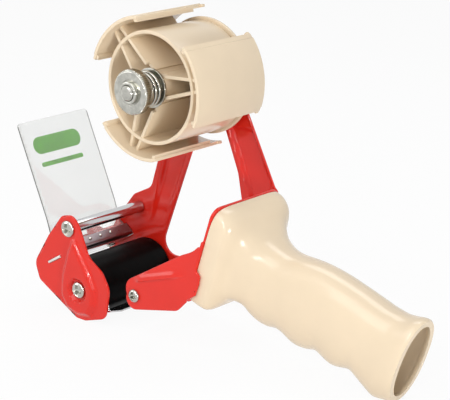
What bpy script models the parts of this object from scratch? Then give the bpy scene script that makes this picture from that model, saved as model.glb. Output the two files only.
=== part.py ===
"""Hand-held packing tape dispenser with a pistol grip.

Local frame: X runs from the roller at the front (-X) to the handle (+X), Y along the
axles with the open loading side at -Y, Z up from the surface the dispenser rests on.
Lengths are in metres.  Most pieces are written from the hub's axis, and the root empty
moves that axis so that the whole object is centred over the origin.
"""
import math

import bmesh
import bpy
from mathutils import Matrix, Vector

MM = 0.001
GAP = 0.3 * MM                     # clearance between neighbouring pieces

# Frame pressing
SHEET = 1.5 * MM
HALF_INSIDE = 28.0 * MM            # half the width between the two side plates
HUB_HEIGHT = 137.5 * MM
PLATE_ABOVE_HUB = 20.5 * MM
WINDOW_BELOW_HUB = 22.5 * MM
AXLE_X = -45.0 * MM
ROLLER_R = 16.8 * MM
ROLLER_LIFT = 0.6 * MM             # roller above the resting surface
ROD_BEHIND = 5.7 * MM              # guide rod behind and above the bracket's folded edge
ROD_ABOVE = 17.0 * MM
ROD_R = 3.4 * MM
TIE_X = -3.0 * MM
TIE_Z = 24.8 * MM
TIE_R = 4.0 * MM
WEB_LEAN = math.radians(17.5)      # back web leans rearwards at its top
WEB_X = 42.2 * MM                  # a point on the web's rear face
WEB_Z = 57.0 * MM
WEB_TOP = 28.2 * MM                # along the web, above that point
WEB_BOTTOM = 28.4 * MM
WEB_CORNER = 6.0 * MM
WEB_JOINT = 8.6 * MM               # near arm joins the web below this height on it
EMBOSS = 2.3 * MM                  # depth of the pressed channels
EMBOSS_SLOPE = 2.0 * MM            # width of a channel's sloping wall
CHEEK_BULGE = 2.5 * MM
BULGE_SLOPE = 2.4 * MM
BULGE_SEAT = 0.6 * MM              # dish under the near axle screw stands this far off the cheek
LAP_IN = 0.2 * MM                  # overlap of two solids that become one

# Roller set
ROLLER_SIDE_PLAY = 1.0 * MM
CORE_SET_BACK = 0.9 * MM
SLEEVE_BORE_R = 11.0 * MM
SLEEVE_EDGE = 0.8 * MM
CORE_BORE_R = 5.6 * MM
BUSH_FLANGE_R = 7.5 * MM
BUSH_FLANGE = 1.1 * MM
BUSH_LENGTH = 9.0 * MM
AXLE_R = 3.0 * MM
BEARING_PLAY = 0.3 * MM

# Screws with cross recesses in the ends of the rods
SCREW_SHANK_R = 1.9 * MM
SCREW_HEAD_R = 3.6 * MM
SCREW_HEAD = 2.2 * MM
SCREW_LENGTH = 9.5 * MM
SCREW_END_PLAY = 1.0 * MM
ROD_HEAD_R = 4.7 * MM
ROD_HEAD = 1.9 * MM
AXLE_SHANK_R = 1.5 * MM
AXLE_RECESS_R = 6.6 * MM
RECESS_SHARE = 0.55                # cross recess's reach, as a share of the head's radius
RECESS_HALF_WIDTH = 0.35 * MM
RECESS_DEPTH = 1.0 * MM
HEAD_DOME = [(0.0, 1.0), (0.5, 0.96), (0.85, 0.72), (1.0, 0.3), (1.0, 0.0)]    # shares of radius and height

# Blade bracket, blade and flap
BRACKET_SHEET = 1.2 * MM
BRACKET_STAND = 5.045 * MM         # bracket's rear folded edge outside the roller
BRACKET_TURN = math.radians(130.544)
BRACKET_BEND = 0.9 * MM
BLADE_SLOPE = math.radians(31.0)
CLAMP_SLOPE = math.radians(37.0)
BLADE_LEG = 15.5 * MM
CLAMP_LEG = 6.8 * MM
TAB_FROM = 1.2 * MM
TAB_TO = 12.2 * MM
TAB_SHEET = 1.0 * MM
TAB_PROUD = 0.4 * MM
BLADE_SHEET = 0.7 * MM
BLADE_FROM = 3.0 * MM
BLADE_TO = 27.5 * MM
BLADE_END_PLAY = 2.0 * MM
TOOTH_PITCH = 2.6 * MM
TOOTH_DEPTH = 1.8 * MM
BLADE_SCREW_AT = 8.5 * MM
BLADE_SCREW_INSET = 10.0 * MM      # from each end of the blade
BLADE_SHANK_R = 1.5 * MM
BLADE_HEAD_R = 2.8 * MM
BLADE_HEAD = 1.4 * MM
BLADE_SHANK_PROUD = 2.0 * MM
FLAP_SHEET = 0.5 * MM
FLAP_FROM = 2.2 * MM               # sheet's hidden edge, from the bracket's apex
FLAP_TO = 12.0 * MM                # where it leaves the clamp strip
FLAP_FREE = 0.4 * MM               # from there to the bending line
FLAP_START = 0.5 * MM              # free sheet's edge above the bending line
FLAP_SIDE_PLAY = 1.0 * MM
FLAP_KNEE = 10.6 * MM              # first stretch above the clamp
FLAP_LENGTH = 67.2 * MM
FLAP_KNEE_LEAN = math.radians(18.0)
FLAP_LEAN = math.radians(24.6)
STRIP_SHEET = 1.2 * MM
STRIP_FROM = 2.5 * MM
STRIP_FLOOR = 9.2 * MM             # bottom of the strip's notches
STRIP_TO = 12.9 * MM               # top of its lugs
# Lugs as shares of the strip's half width: from, to, and how far their sides lean outwards
STRIP_LUGS = [(-1.0, -0.41, 0.067), (0.044, 0.363, 0.074), (0.948, 1.0, 0.207)]
RIVET_R = 1.4 * MM
RIVET_NECK_R = 0.77 * MM
RIVET_HEAD = 0.8 * MM
RIVET_AT = 4.3 * MM
RIVET_SPACING = 8.2 * MM
RIVET_COUNT = 4

# Stripper plate under the roller
STRIPPER_SHEET = 0.8 * MM
STRIPPER_STAND = 1.454 * MM        # its front edge outside the roller
STRIPPER_TURN = math.radians(-32.472)
STRIPPER_LENGTH = 15.4 * MM
STRIPPER_SLOPE = math.radians(17.7)
STRIPPER_EAR = 5.0 * MM
STRIPPER_EAR_LENGTH = 6.0 * MM
STRIPPER_EAR_SLANT = 1.5 * MM
DRILL_DEPTH = 8.0 * MM             # cutters for the holes in the bracket's legs

# Hub set
TAB_SIDE_PLAY = 1.8 * MM
TAB_R = 38.25 * MM
TAB_STAND = 6.15 * MM              # clear height of a tab over the drum
HUB_WALL = 2.0 * MM
DRUM_WALL = 2.0 * MM
DRUM_SET_BACK = 5.0 * MM           # drum's ends behind the tabs' ends
TAB_SPAN = math.radians(66.0)
TAB_FIRST = math.radians(10.5)
TAB_COUNT = 3
DRUM_SIDES = 60
LIP_DEPTH = 1.6 * MM
LIP_WIDTH = 2.4 * MM
LIP_TAPER = 0.9 * MM
BOSS_R = 9.0 * MM
BOSS_SET_BACK = 2.9 * MM
RIB = 1.8 * MM
RIB_HALF_AXIS = 6.9 * MM           # half distance of a rib pair at the axis
RIB_HALF_TAB = 2.2 * MM            # the same at the tab
RIB_SET_BACK = 0.5 * MM            # ribs behind the drum's near edge
STACK_ROOM = 0.7 * MM              # round the washers that sit in the ribs' near ends
WINDOW_FROM_BOSS = 3.5 * MM
WINDOW_FROM_DRUM = 2.1 * MM
WINDOW_SPAN = math.radians(74.0)
BACK_WALL = 2.0 * MM
BACK_SET_BACK = 1.8 * MM           # back wall's far face before the drum's far end
BACK_BORE_PLAY = 1.0 * MM
FLANGE_RIM = 1.6 * MM              # end flange outside the drum
FLANGE_WIDTH = 7.7 * MM
FLANGE = 2.0 * MM

# Spindle stack
SPINDLE_R = 4.0 * MM
SPINDLE_CHAMFER = 0.8 * MM
BORE_PLAY = 0.3 * MM
BUSH_WALL = 1.6 * MM
WASHER = 1.0 * MM
FRICTION_R = 9.5 * MM
SEAT_R = 10.5 * MM
SPRING_R = 8.9 * MM                # wire centre
SPRING_WIRE = 1.6 * MM
SPRING_LENGTH = 8.2 * MM
SPRING_TURNS = 2
SPRING_POINTS = 10                 # to a turn
NUT_R = 11.8 * MM
NUT_RIM = 5.0 * MM
NUT_COLLAR_R = 6.0 * MM
NUT_COLLAR = 2.0 * MM
NUT_KNURLS = 44
KNURL_DEPTH = 0.45 * MM
SPINDLE_PROUD = 1.2 * MM
SPACER_R = 7.0 * MM
FRAME_NUT_R = 7.5 * MM
FRAME_NUT = 6.2 * MM
FRAME_WASHER_R = 9.0 * MM

# Handle
HANDLE_WALL = 3.0 * MM
HANDLE_HALF_WIDTH = HALF_INSIDE - GAP
HANDLE_SIDES = 28
WALL_LEAD = 0.6                    # inner sections follow the outer ones this share of a wall early
SCREW_AT = 17.0 * MM
HANDLE_BOSS_R = 4.6 * MM
HANDLE_BOSS = 10.5 * MM
HANDLE_RIB = 3.0 * MM
RIB_DEPTH = 8.0 * MM
RIB_FROM = 2.5 * MM
SECTION_SPACING = 4.5 * MM         # most between two sections of the loft

# Handle sections: distance behind the web, half width, top, bottom, squareness of the upper half
# and of the lower half
HANDLE_STATIONS = [
    (0.3, 27.7, 28.0, -28.2, 7.0, 14.0), (4.0, 27.7, 27.8, -28.4, 6.5, 14.0),
    (7.5, 27.4, 26.4, -28.6, 6.0, 13.0), (10.0, 26.7, 24.8, -28.6, 5.4, 12.0),
    (11.6, 25.2, 23.2, -27.9, 5.0, 9.0), (13.2, 22.9, 21.5, -25.2, 4.4, 6.0),
    (15.5, 20.7, 19.6, -22.2, 3.7, 4.6), (20.0, 18.4, 17.0, -22.4, 3.1, 3.4),
    (23.5, 17.2, 16.1, -23.7, 2.8, 2.9), (27.6, 16.5, 15.4, -26.4, 2.6, 2.6),
    (32.3, 16.0, 15.2, -28.0, 2.4, 2.4), (37.9, 15.8, 15.9, -27.7, 2.3, 2.3),
    (42.8, 15.6, 17.1, -25.8, 2.3, 2.3), (47.5, 15.5, 18.4, -25.7, 2.3, 2.3),
    (54.3, 15.3, 19.9, -27.3, 2.3, 2.3), (58.5, 15.2, 20.5, -27.1, 2.3, 2.3),
    (63.3, 15.2, 20.9, -25.6, 2.3, 2.3), (69.1, 15.2, 21.1, -22.9, 2.3, 2.3),
    (76.9, 15.2, 21.1, -24.2, 2.3, 2.3), (80.5, 15.2, 21.1, -24.3, 2.3, 2.3),
    (84.0, 15.2, 21.0, -23.2, 2.3, 2.3), (90.9, 15.1, 20.7, -20.4, 2.3, 2.3),
    (96.7, 15.0, 20.6, -22.1, 2.3, 2.3), (104.4, 15.1, 21.5, -25.2, 2.2, 2.2),
    (107.5, 15.2, 22.3, -25.8, 2.2, 2.2), (110.5, 15.2, 23.4, -25.0, 2.2, 2.2),
    (114.0, 15.0, 25.0, -23.7, 2.2, 2.2), (117.2, 14.3, 25.6, -22.7, 2.2, 2.2),
    (117.8, 13.6, 25.0, -22.1, 2.2, 2.2),
]

AXLE_Z = ROLLER_R + ROLLER_LIFT
APEX_X = AXLE_X + (ROLLER_R + BRACKET_STAND) * math.cos(BRACKET_TURN)
APEX_Z = AXLE_Z + (ROLLER_R + BRACKET_STAND) * math.sin(BRACKET_TURN)
ROD_X = APEX_X + ROD_BEHIND
ROD_Z = APEX_Z + ROD_ABOVE
STRIPPER_FRONT_X = AXLE_X + (ROLLER_R + STRIPPER_STAND) * math.cos(STRIPPER_TURN)
STRIPPER_FRONT_Z = AXLE_Z + (ROLLER_R + STRIPPER_STAND) * math.sin(STRIPPER_TURN)
OUTSIDE = HALF_INSIDE + SHEET
REACH = HALF_INSIDE - GAP          # half length of what stands between the plates
SLEEVE_LENGTH = 2 * (HALF_INSIDE - ROLLER_SIDE_PLAY)
CORE_LENGTH = SLEEVE_LENGTH - 2 * CORE_SET_BACK
BLADE_HALF_WIDTH = HALF_INSIDE - BLADE_END_PLAY
FLAP_HALF_WIDTH = HALF_INSIDE - FLAP_SIDE_PLAY
TAB_HALF = HALF_INSIDE - TAB_SIDE_PLAY
DRUM_HALF = TAB_HALF - DRUM_SET_BACK
DRUM_R = TAB_R - HUB_WALL - TAB_STAND
BOSS_HALF = DRUM_HALF - BOSS_SET_BACK
WINDOW_INNER_R = BOSS_R + WINDOW_FROM_BOSS
WINDOW_OUTER_R = DRUM_R - DRUM_WALL - WINDOW_FROM_DRUM
FLANGE_R = DRUM_R + FLANGE_RIM
HUB_END = DRUM_HALF - BACK_SET_BACK
FRONT_STACK = BOSS_HALF + GAP      # near friction washer's far face, towards -Y
SEAT_FACE = FRONT_STACK + 2 * WASHER + 2 * GAP
SPRING_FACE = SEAT_FACE + SPRING_LENGTH
NUT_FACE = SPRING_FACE + WASHER + 2 * GAP
SPINDLE_NEAR = NUT_FACE + NUT_RIM + NUT_COLLAR + SPINDLE_PROUD
FRAME_NUT_FACE = OUTSIDE + 2 * GAP + WASHER


def offset_from(x, z, corners):
    """Outline corners (a, b, radius) in millimetres, counted from a point in metres."""
    return [(x / MM + a, z / MM + b, radius) for a, b, radius in corners]


def from_web(corners):
    """Outline corners (behind the web's rear face, up the web, radius) in millimetres."""
    s, c = math.sin(WEB_LEAN), math.cos(WEB_LEAN)
    return [(WEB_X / MM + t * c + up * s, WEB_Z / MM - t * s + up * c, radius) for t, up, radius in corners]


def beside_edge(start, end, share, inside):
    """A point in millimetres part of the way along a plate's edge, moved into the plate."""
    first, last = Vector(start[:2]), Vector(end[:2])
    along = (last - first).normalized()
    return tuple(first + (last - first) * share + Vector((along.y, -along.x)) * inside)


# Side plate outlines, counterclockwise seen from -Y; every corner is counted from the piece it goes round
CHEEK_TOP = offset_from(ROD_X, ROD_Z, [(8.1, 3.0, 8), (3.3, 8.4, 6), (-5.3, 6.4, 6)])
CHEEK_FRONT = offset_from(APEX_X, APEX_Z, [(-10.6, 9.5, 22), (-22.0, -8.5, 7), (-18.4, -18.4, 5)])
CHEEK_FOOT = offset_from(AXLE_X, 0.0, [(-3.0, 0.0, 5), (4.0, 0.0, 5)])
CHEEK_REAR = offset_from(AXLE_X, AXLE_Z, [(19.6, -12.4, 6), (22.6, 5.1, 9), (17.0, 14.1, 9), (7.0, 20.1, 9)])
PLATE_REAR = (offset_from(TIE_X, TIE_Z, [(-15.0, -13.8, 12)])
              + from_web([(-4.6, -36.0, 6), (0.0, -28.4, 3), (0.0, 23.0, 2), (-4.6, 25.8, 2)]))
PLATE_TOP = (offset_from(0.0, HUB_HEIGHT + PLATE_ABOVE_HUB, [(6.6, 0.0, 14), (-16.4, 0.0, 14)])
             + offset_from(ROD_X, ROD_Z, [(8.3, 13.4, 7)]))
WINDOW = (offset_from(AXLE_X, AXLE_Z, [(7.0, 9.6, 8)])
          + offset_from(0.0, HUB_HEIGHT - WINDOW_BELOW_HUB, [(-5.5, 0.0, 5), (6.9, 0.0, 5)])
          + from_web([(-30.4, 20.3, 18), (-20.8, 2.9, 10), (-20.7, -36.3, 8)]))
FRONT_CHANNEL = ([(*beside_edge(PLATE_TOP[2], PLATE_TOP[1], 0.475, 2.9), 4)]
                 + offset_from(0.0, HUB_HEIGHT, [(-13.0, -33.5, 4)])
                 + offset_from(ROD_X, ROD_Z, [(17.5, -9.5, 3), (8.1, -8.0, 3)]))
REAR_CHANNEL = (offset_from(0.0, HUB_HEIGHT, [(11.5, -26.5, 3)])
                + [(*beside_edge(PLATE_TOP[0], PLATE_REAR[-1], 0.611, 2.9), 4)]
                + from_web([(-8.5, 26.2, 5), (-5.0, 12.0, 5), (-12.9, 5.4, 4)]))
BULGE = offset_from(AXLE_X, AXLE_Z, [(-5.5, 25.1, 4), (-12.5, 6.6, 10), (-13.0, -11.9, 9), (10.0, -13.9, 9),
                                     (13.5, 4.6, 9), (1.5, 23.6, 4)])
ARM_FRONT = (offset_from(TIE_X, TIE_Z, [(-6.8, 6.8, 7), (-6.2, -9.6, 6)])
             + from_web([(-4.3, -36.1, 6), (0.0, -28.3, 3)]))
ARM_LAP = [(0.0, -26.5, 1.5), (4.0, -21.5, 1.5), (4.2, -14.0, 1.5), (3.6, -9.8, 1.5), (0.0, -7.8, 1.5)]
ARM_TOP = from_web([(-0.5, 8.2, 3), (-5.0, 0.5, 14), (-11.2, -5.2, 14)])
BEAD = offset_from(TIE_X, TIE_Z, [(1.0, 8.4, 0)]) + from_web([(-5.3, -13.8, 0)])
BEAD_WIDTH = 2.6 * MM
BEAD_CREST = 0.9 * MM
BEAD_HEIGHT = 0.9 * MM

COLOURS = {
    "red_paint": ((0.72, 0.035, 0.03), 0.25, 0.0),
    "beige_plastic": ((0.80, 0.66, 0.47), 0.35, 0.0),
    "zinc": ((0.62, 0.64, 0.63), 0.3, 1.0),
    "bright_steel": ((0.72, 0.73, 0.74), 0.2, 1.0),
    "black_rubber": ((0.012, 0.012, 0.013), 0.6, 0.0),
    "clear_sheet": ((0.9, 0.93, 0.93), 0.1, 0.0),
    "white_nylon": ((0.8, 0.8, 0.78), 0.45, 0.0),
    "brown_fibre": ((0.25, 0.14, 0.07), 0.8, 0.0),
    "grey_plastic": ((0.25, 0.25, 0.26), 0.5, 0.0),
}


def clear_scene():
    for item in list(bpy.data.objects):
        bpy.data.objects.remove(item, do_unlink=True)


def material(name):
    found = bpy.data.materials.get(name)
    if found:
        return found
    colour, roughness, metallic = COLOURS[name]
    made = bpy.data.materials.new(name)
    made.use_nodes = True
    shader = made.node_tree.nodes["Principled BSDF"]
    shader.inputs["Base Color"].default_value = (*colour, 1.0)
    shader.inputs["Roughness"].default_value = roughness
    shader.inputs["Metallic"].default_value = metallic
    return made


def collection(name):
    found = bpy.data.collections.get(name)
    if not found:
        found = bpy.data.collections.new(name)
        bpy.context.scene.collection.children.link(found)
    return found


# Outlines, as lists of (a, b) points


def rounded(corners, steps=5):
    """Fillet each (a, b, radius) corner, in millimetres, and return points in metres."""
    points = []
    count = len(corners)
    for index in range(count):
        before = Vector(corners[index - 1][:2]) * MM
        here = Vector(corners[index][:2]) * MM
        after = Vector(corners[(index + 1) % count][:2]) * MM
        radius = corners[index][2] * MM
        u = (before - here).normalized()
        v = (after - here).normalized()
        half = u.angle(v) / 2
        reach = min(radius / math.tan(half), 0.48 * (before - here).length, 0.48 * (after - here).length)
        radius = reach * math.tan(half)
        centre = here + (u + v).normalized() * (radius / math.sin(half))
        start = here + u * reach - centre
        turn = math.pi - 2 * half
        if start.x * (v * reach + here - centre).y - start.y * (v * reach + here - centre).x < 0:
            turn = -turn
        for step in range(steps + 1):
            angle = turn * step / steps
            swung = Matrix.Rotation(angle, 2) @ start
            points.append(tuple(centre + swung))
    return points


def inset(corners, width):
    """Move every side of a convex outline inwards by width, keeping the corner radii."""
    area = sum(a[0] * b[1] - b[0] * a[1] for a, b in zip(corners, corners[1:] + corners[:1]))
    side = 1 if area > 0 else -1
    moved = []
    count = len(corners)
    for index in range(count):
        here = Vector(corners[index][:2])
        u = (here - Vector(corners[index - 1][:2])).normalized()
        v = (Vector(corners[(index + 1) % count][:2]) - here).normalized()
        normal_u = Vector((-u.y, u.x)) * side
        normal_v = Vector((-v.y, v.x)) * side
        shift = (normal_u + normal_v) / (1 + normal_u.dot(normal_v)) * (width / MM)
        moved.append((here.x + shift.x, here.y + shift.y, corners[index][2]))
    return moved


def circle(a, b, radius, count=28):
    turn = 2 * math.pi / count
    return [(a + radius * math.cos(turn * k), b + radius * math.sin(turn * k)) for k in range(count)]


def ribbon(path, thickness):
    """Outline of a folded sheet whose middle follows the path."""
    left, right = [], []
    last = len(path) - 1
    for index, point in enumerate(path):
        here = Vector(point)
        into = (here - Vector(path[max(index - 1, 0)])) if index else Vector(path[1]) - here
        out = (Vector(path[min(index + 1, last)]) - here) if index < last else into
        u, v = into.normalized(), out.normalized()
        normal = Vector((-u.y, u.x)) + Vector((-v.y, v.x))
        normal = normal / (1 + u.dot(v)) * (thickness / 2)
        left.append(tuple(here + normal))
        right.append(tuple(here - normal))
    return left + right[::-1]


# Solids


def side_plane(y):
    """Outline (a, b) stands in the XZ plane at y, its thickness along Y."""
    return Matrix(((1, 0, 0, 0), (0, 0, -1, y), (0, 1, 0, 0), (0, 0, 0, 1)))


def web_plane(t):
    """Outline (a, b) lies on the web: a along Y, b up the web, t behind its rear face."""
    s, c = math.sin(WEB_LEAN), math.cos(WEB_LEAN)
    return Matrix(((0, s, c, WEB_X + t * c), (1, 0, 0, 0), (0, c, -s, WEB_Z - t * s), (0, 0, 0, 1)))


def web_point(t, s, y=0.0):
    return web_plane(t) @ Vector((y, s, 0.0))


def plain_mesh(item):
    """Replace an object by its evaluated mesh, in place, with its caps welded."""
    bpy.context.view_layer.update()
    evaluated = item.evaluated_get(bpy.context.evaluated_depsgraph_get())
    mesh = bpy.data.meshes.new_from_object(evaluated)
    shape = bmesh.new()
    shape.from_mesh(mesh)
    shape.transform(item.matrix_world)
    bmesh.ops.remove_doubles(shape, verts=shape.verts, dist=1e-6)
    bmesh.ops.recalc_face_normals(shape, faces=shape.faces)
    shape.to_mesh(mesh)
    shape.free()
    name = item.name
    bpy.data.objects.remove(item, do_unlink=True)
    made = bpy.data.objects.new(name, mesh)
    bpy.context.scene.collection.objects.link(made)
    made.name = name
    return made


def plate(name, loops, depth, place):
    """A flat outline with its holes, extruded by depth about its own plane."""
    curve = bpy.data.curves.new(name, "CURVE")
    curve.dimensions = "2D"
    curve.fill_mode = "BOTH"
    curve.extrude = depth / 2
    for loop in loops:
        spline = curve.splines.new("POLY")
        spline.points.add(len(loop) - 1)
        for point, (a, b) in zip(spline.points, loop):
            point.co = (a, b, 0.0, 1.0)
        spline.use_cyclic_u = True
    item = bpy.data.objects.new(name, curve)
    item.matrix_world = place
    bpy.context.scene.collection.objects.link(item)
    return plain_mesh(item)


def frustum(name, low, high, y_low, y_high):
    """A pressing's solid between two outlines of as many points."""
    shape = bmesh.new()
    rings = []
    for outline, y in ((low, y_low), (high, y_high)):
        rings.append([shape.verts.new((a, y, b)) for a, b in outline])
    count = len(low)
    shape.faces.new(rings[0])
    shape.faces.new(rings[1])
    for k in range(count):
        n = (k + 1) % count
        shape.faces.new((rings[0][k], rings[0][n], rings[1][n], rings[1][k]))
    bmesh.ops.recalc_face_normals(shape, faces=shape.faces)
    return mesh_object(name, shape)


def mesh_object(name, shape):
    mesh = bpy.data.meshes.new(name)
    shape.to_mesh(mesh)
    shape.free()
    item = bpy.data.objects.new(name, mesh)
    bpy.context.scene.collection.objects.link(item)
    return item


def box(name, low, high):
    shape = bmesh.new()
    bmesh.ops.create_cube(shape, size=1.0)
    middle = (Vector(low) + Vector(high)) / 2
    extent = Vector(high) - Vector(low)
    bmesh.ops.scale(shape, vec=extent, verts=shape.verts)
    bmesh.ops.translate(shape, vec=middle, verts=shape.verts)
    return mesh_object(name, shape)


def spun(name, profile, steps):
    """A piece turned about Z: profile of (radius, z) from the top to the bottom."""
    shape = bmesh.new()
    corners = [shape.verts.new((radius, 0.0, z)) for radius, z in profile]
    for pair in zip(corners, corners[1:]):
        shape.edges.new(pair)
    if min(radius for radius, z in profile) > 0:
        shape.edges.new((corners[-1], corners[0]))
    item = mesh_object(name, shape)
    screw = item.modifiers.new("turn", "SCREW")
    screw.steps = screw.render_steps = steps
    screw.use_merge_vertices = True
    screw.merge_threshold = 1e-5
    return item


def turned(name, profile, steps=32, centre=(0.0, 0.0)):
    """A piece turned about a line along Y: profile of (radius, y) from the +Y end to the -Y end."""
    item = spun(name, profile, steps)
    item.rotation_euler = (-math.pi / 2, 0.0, 0.0)
    item.location = (centre[0], 0.0, centre[1])
    return item


def washer_shape(name, outer, inner, y_far, y_near, centre=(0.0, 0.0)):
    """A plain ring: outer side from its far face to its near face, then back along the bore."""
    profile = [(outer, y_far), (outer, y_near), (inner, y_near), (inner, y_far)]
    return turned(name, profile, centre=centre)


def combine(base, tool, operation):
    """Boolean of two meshes; the tool is used up."""
    modifier = base.modifiers.new("combine", "BOOLEAN")
    modifier.operation = operation
    modifier.solver = "EXACT"
    modifier.object = tool
    bpy.context.view_layer.update()
    evaluated = base.evaluated_get(bpy.context.evaluated_depsgraph_get())
    mesh = bpy.data.meshes.new_from_object(evaluated)
    base.modifiers.clear()
    base.data = mesh
    bpy.data.objects.remove(tool, do_unlink=True)
    return base


def unite(base, *tools):
    for tool in tools:
        combine(base, tool, "UNION")
    return base


def cut(base, *tools):
    for tool in tools:
        combine(base, tool, "DIFFERENCE")
    return base


def finish_all(names, items, colour, parent):
    """Finish the copies of one fastener or bush, each with its own name."""
    for name, item in zip(names, items):
        item.name = name
        finish(item, colour, parent)


def finish(item, colour, parent, smooth=False):
    """Put a finished piece in the dispenser's collection, on its axis, with its material."""
    home = collection("tape_dispenser")
    for holder in list(item.users_collection):
        holder.objects.unlink(item)
    home.objects.link(item)
    item.data.materials.clear()
    item.data.materials.append(material(colour))
    item.parent = parent
    if smooth and not item.modifiers:
        item.data.shade_smooth()
        item.data.set_sharp_from_angle(angle=math.radians(35))
    return item


def axis_empty(name, x, z, parent):
    item = bpy.data.objects.new(name, None)
    item.empty_display_size = 0.01
    item.location = (x, 0.0, z)
    item.parent = parent
    collection("axes").objects.link(item)
    return item


# The frame and its cheek


def leg(angle, distance, offset=0.0):
    """A point on one leg of the blade bracket; offset is towards the V's back."""
    along = Vector((-math.cos(angle), math.sin(angle)))
    normal = Vector((math.sin(angle), math.cos(angle)))
    return tuple(Vector((APEX_X, APEX_Z)) + along * distance + normal * offset)


def tab_slot():
    """The slot for a bracket tab, with clearance all round."""
    start = leg(-BLADE_SLOPE, TAB_FROM - GAP)
    end = leg(-BLADE_SLOPE, TAB_TO + GAP)
    return ribbon([start, end], TAB_SHEET + 2 * GAP)


def side_holes():
    """Holes in both side plates for the rod's screws and the bracket's tabs."""
    return [circle(ROD_X, ROD_Z, SCREW_SHANK_R + GAP, 20), tab_slot()]


def channel(base, corners):
    """Press a channel outwards into the far plate."""
    wider = inset(corners, -SHEET)
    crest, floor = rounded(inset(wider, EMBOSS_SLOPE)), rounded(inset(corners, EMBOSS_SLOPE))
    top = frustum("raised", rounded(wider), crest, OUTSIDE - LAP_IN, OUTSIDE + EMBOSS)
    pocket = frustum("pocket", rounded(corners), floor, HALF_INSIDE - LAP_IN / 10, HALF_INSIDE + EMBOSS)
    unite(base, top)
    return cut(base, pocket)


def web_sheet():
    """The web between the plates: full width below the near arm's joint, narrower above it."""
    half = (OUTSIDE - GAP) / MM
    free = HANDLE_HALF_WIDTH / MM
    top, bottom, corner = WEB_TOP / MM, -WEB_BOTTOM / MM, WEB_CORNER / MM
    joint = WEB_JOINT / MM
    face = rounded([(-half, bottom, 3), (half, bottom, 3), (half, top - corner, 3), (half - corner, top, corner),
                    (-free, top, corner), (-free, joint, 0.5), (-half, joint, 0.5)])
    holes = [circle(0.0, side * SCREW_AT, SCREW_SHANK_R + GAP, 16) for side in (-1, 1)]
    return plate("web", [face] + holes, SHEET, web_plane(-SHEET / 2))


def build_main_frame(root):
    outline = rounded(CHEEK_TOP[2:] + CHEEK_FRONT + CHEEK_FOOT + PLATE_REAR + PLATE_TOP)
    holes = side_holes() + [circle(0.0, HUB_HEIGHT, SPINDLE_R + GAP, 24),
                            circle(AXLE_X, AXLE_Z, AXLE_SHANK_R + GAP, 20),
                            circle(TIE_X, TIE_Z, SCREW_SHANK_R + GAP, 16)]
    far = plate("main_frame", [outline, rounded(WINDOW)] + holes, SHEET, side_plane(HALF_INSIDE + SHEET / 2))
    for corners in (FRONT_CHANNEL, REAR_CHANNEL):
        channel(far, corners)
    web = web_sheet()
    arm_outline = rounded(ARM_FRONT + from_web(ARM_LAP) + ARM_TOP, 4)
    arm = plate("arm", [arm_outline, circle(TIE_X, TIE_Z, SCREW_SHANK_R + GAP, 16)], SHEET,
                side_plane(-HALF_INSIDE - SHEET / 2))
    line = [(a * MM, b * MM) for a, b, radius in BEAD]
    foot, crest = ribbon(line, BEAD_WIDTH), ribbon(line, BEAD_CREST)
    bead = frustum("bead", foot, crest, LAP_IN - OUTSIDE, -OUTSIDE - BEAD_HEIGHT)
    unite(web, far, arm, bead)
    web.name = "main_frame"
    return finish(web, "red_paint", root)


def build_front_cheek(root):
    outline = rounded(CHEEK_TOP[2:] + CHEEK_FRONT + CHEEK_FOOT + CHEEK_REAR + CHEEK_TOP[:2])
    cheek = plate("front_cheek", [outline] + side_holes(), SHEET, side_plane(-HALF_INSIDE - SHEET / 2))
    bulge = frustum("bulge", rounded(BULGE), rounded(inset(BULGE, BULGE_SLOPE)), LAP_IN - OUTSIDE,
                    -OUTSIDE - CHEEK_BULGE)
    floor, clear = -OUTSIDE - BULGE_SEAT, -OUTSIDE - 2 * CHEEK_BULGE
    cutters = []
    for radius, start in ((AXLE_RECESS_R, floor), (AXLE_SHANK_R + GAP, SHEET - HALF_INSIDE)):
        profile = [(0.0, start), (radius, start), (radius, clear), (0.0, clear)]
        cutters.append(plain_mesh(turned("cutter", profile, 28, (AXLE_X, AXLE_Z))))
    unite(cheek, bulge)
    cut(cheek, *cutters)
    return finish(cheek, "red_paint", root)


def build_rods(root):
    """Guide rod, axle and tie bar: bars between the plates with a blind hole for a screw in each end."""
    bars = [("guide_rod", ROD_R, SCREW_SHANK_R, (ROD_X, ROD_Z), "bright_steel"),
            ("roller_axle", AXLE_R, AXLE_SHANK_R, (AXLE_X, AXLE_Z), "zinc"),
            ("tie_bar", TIE_R, SCREW_SHANK_R, (TIE_X, TIE_Z), "zinc")]
    for name, radius, shank, centre, colour in bars:
        hole, floor = shank + GAP, REACH - SCREW_LENGTH
        far_end = [(0.0, floor), (hole, floor), (hole, REACH), (radius, REACH)]
        profile = far_end + [(across, -y) for across, y in reversed(far_end)]
        finish(turned(name, profile, 24, centre), colour, root)


def pan_screw(name, shank, place, head_r=SCREW_HEAD_R, head=SCREW_HEAD, shank_r=SCREW_SHANK_R):
    """A pan-head screw along +Z with its head above the origin, and a cross in the head."""
    dome = [(head_r * across, head * up) for across, up in HEAD_DOME]
    item = plain_mesh(spun(name, dome + [(shank_r, 0.0), (shank_r, -shank), (0.0, -shank)], 16))
    arm, half, floor, clear = head_r * RECESS_SHARE, RECESS_HALF_WIDTH, head - RECESS_DEPTH, head + MM
    cut(item, box("slot_a", (-arm, -half, floor), (arm, half, clear)),
        box("slot_b", (-half, -arm, floor), (half, arm, clear)))
    item.data.transform(place)
    return item


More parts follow.
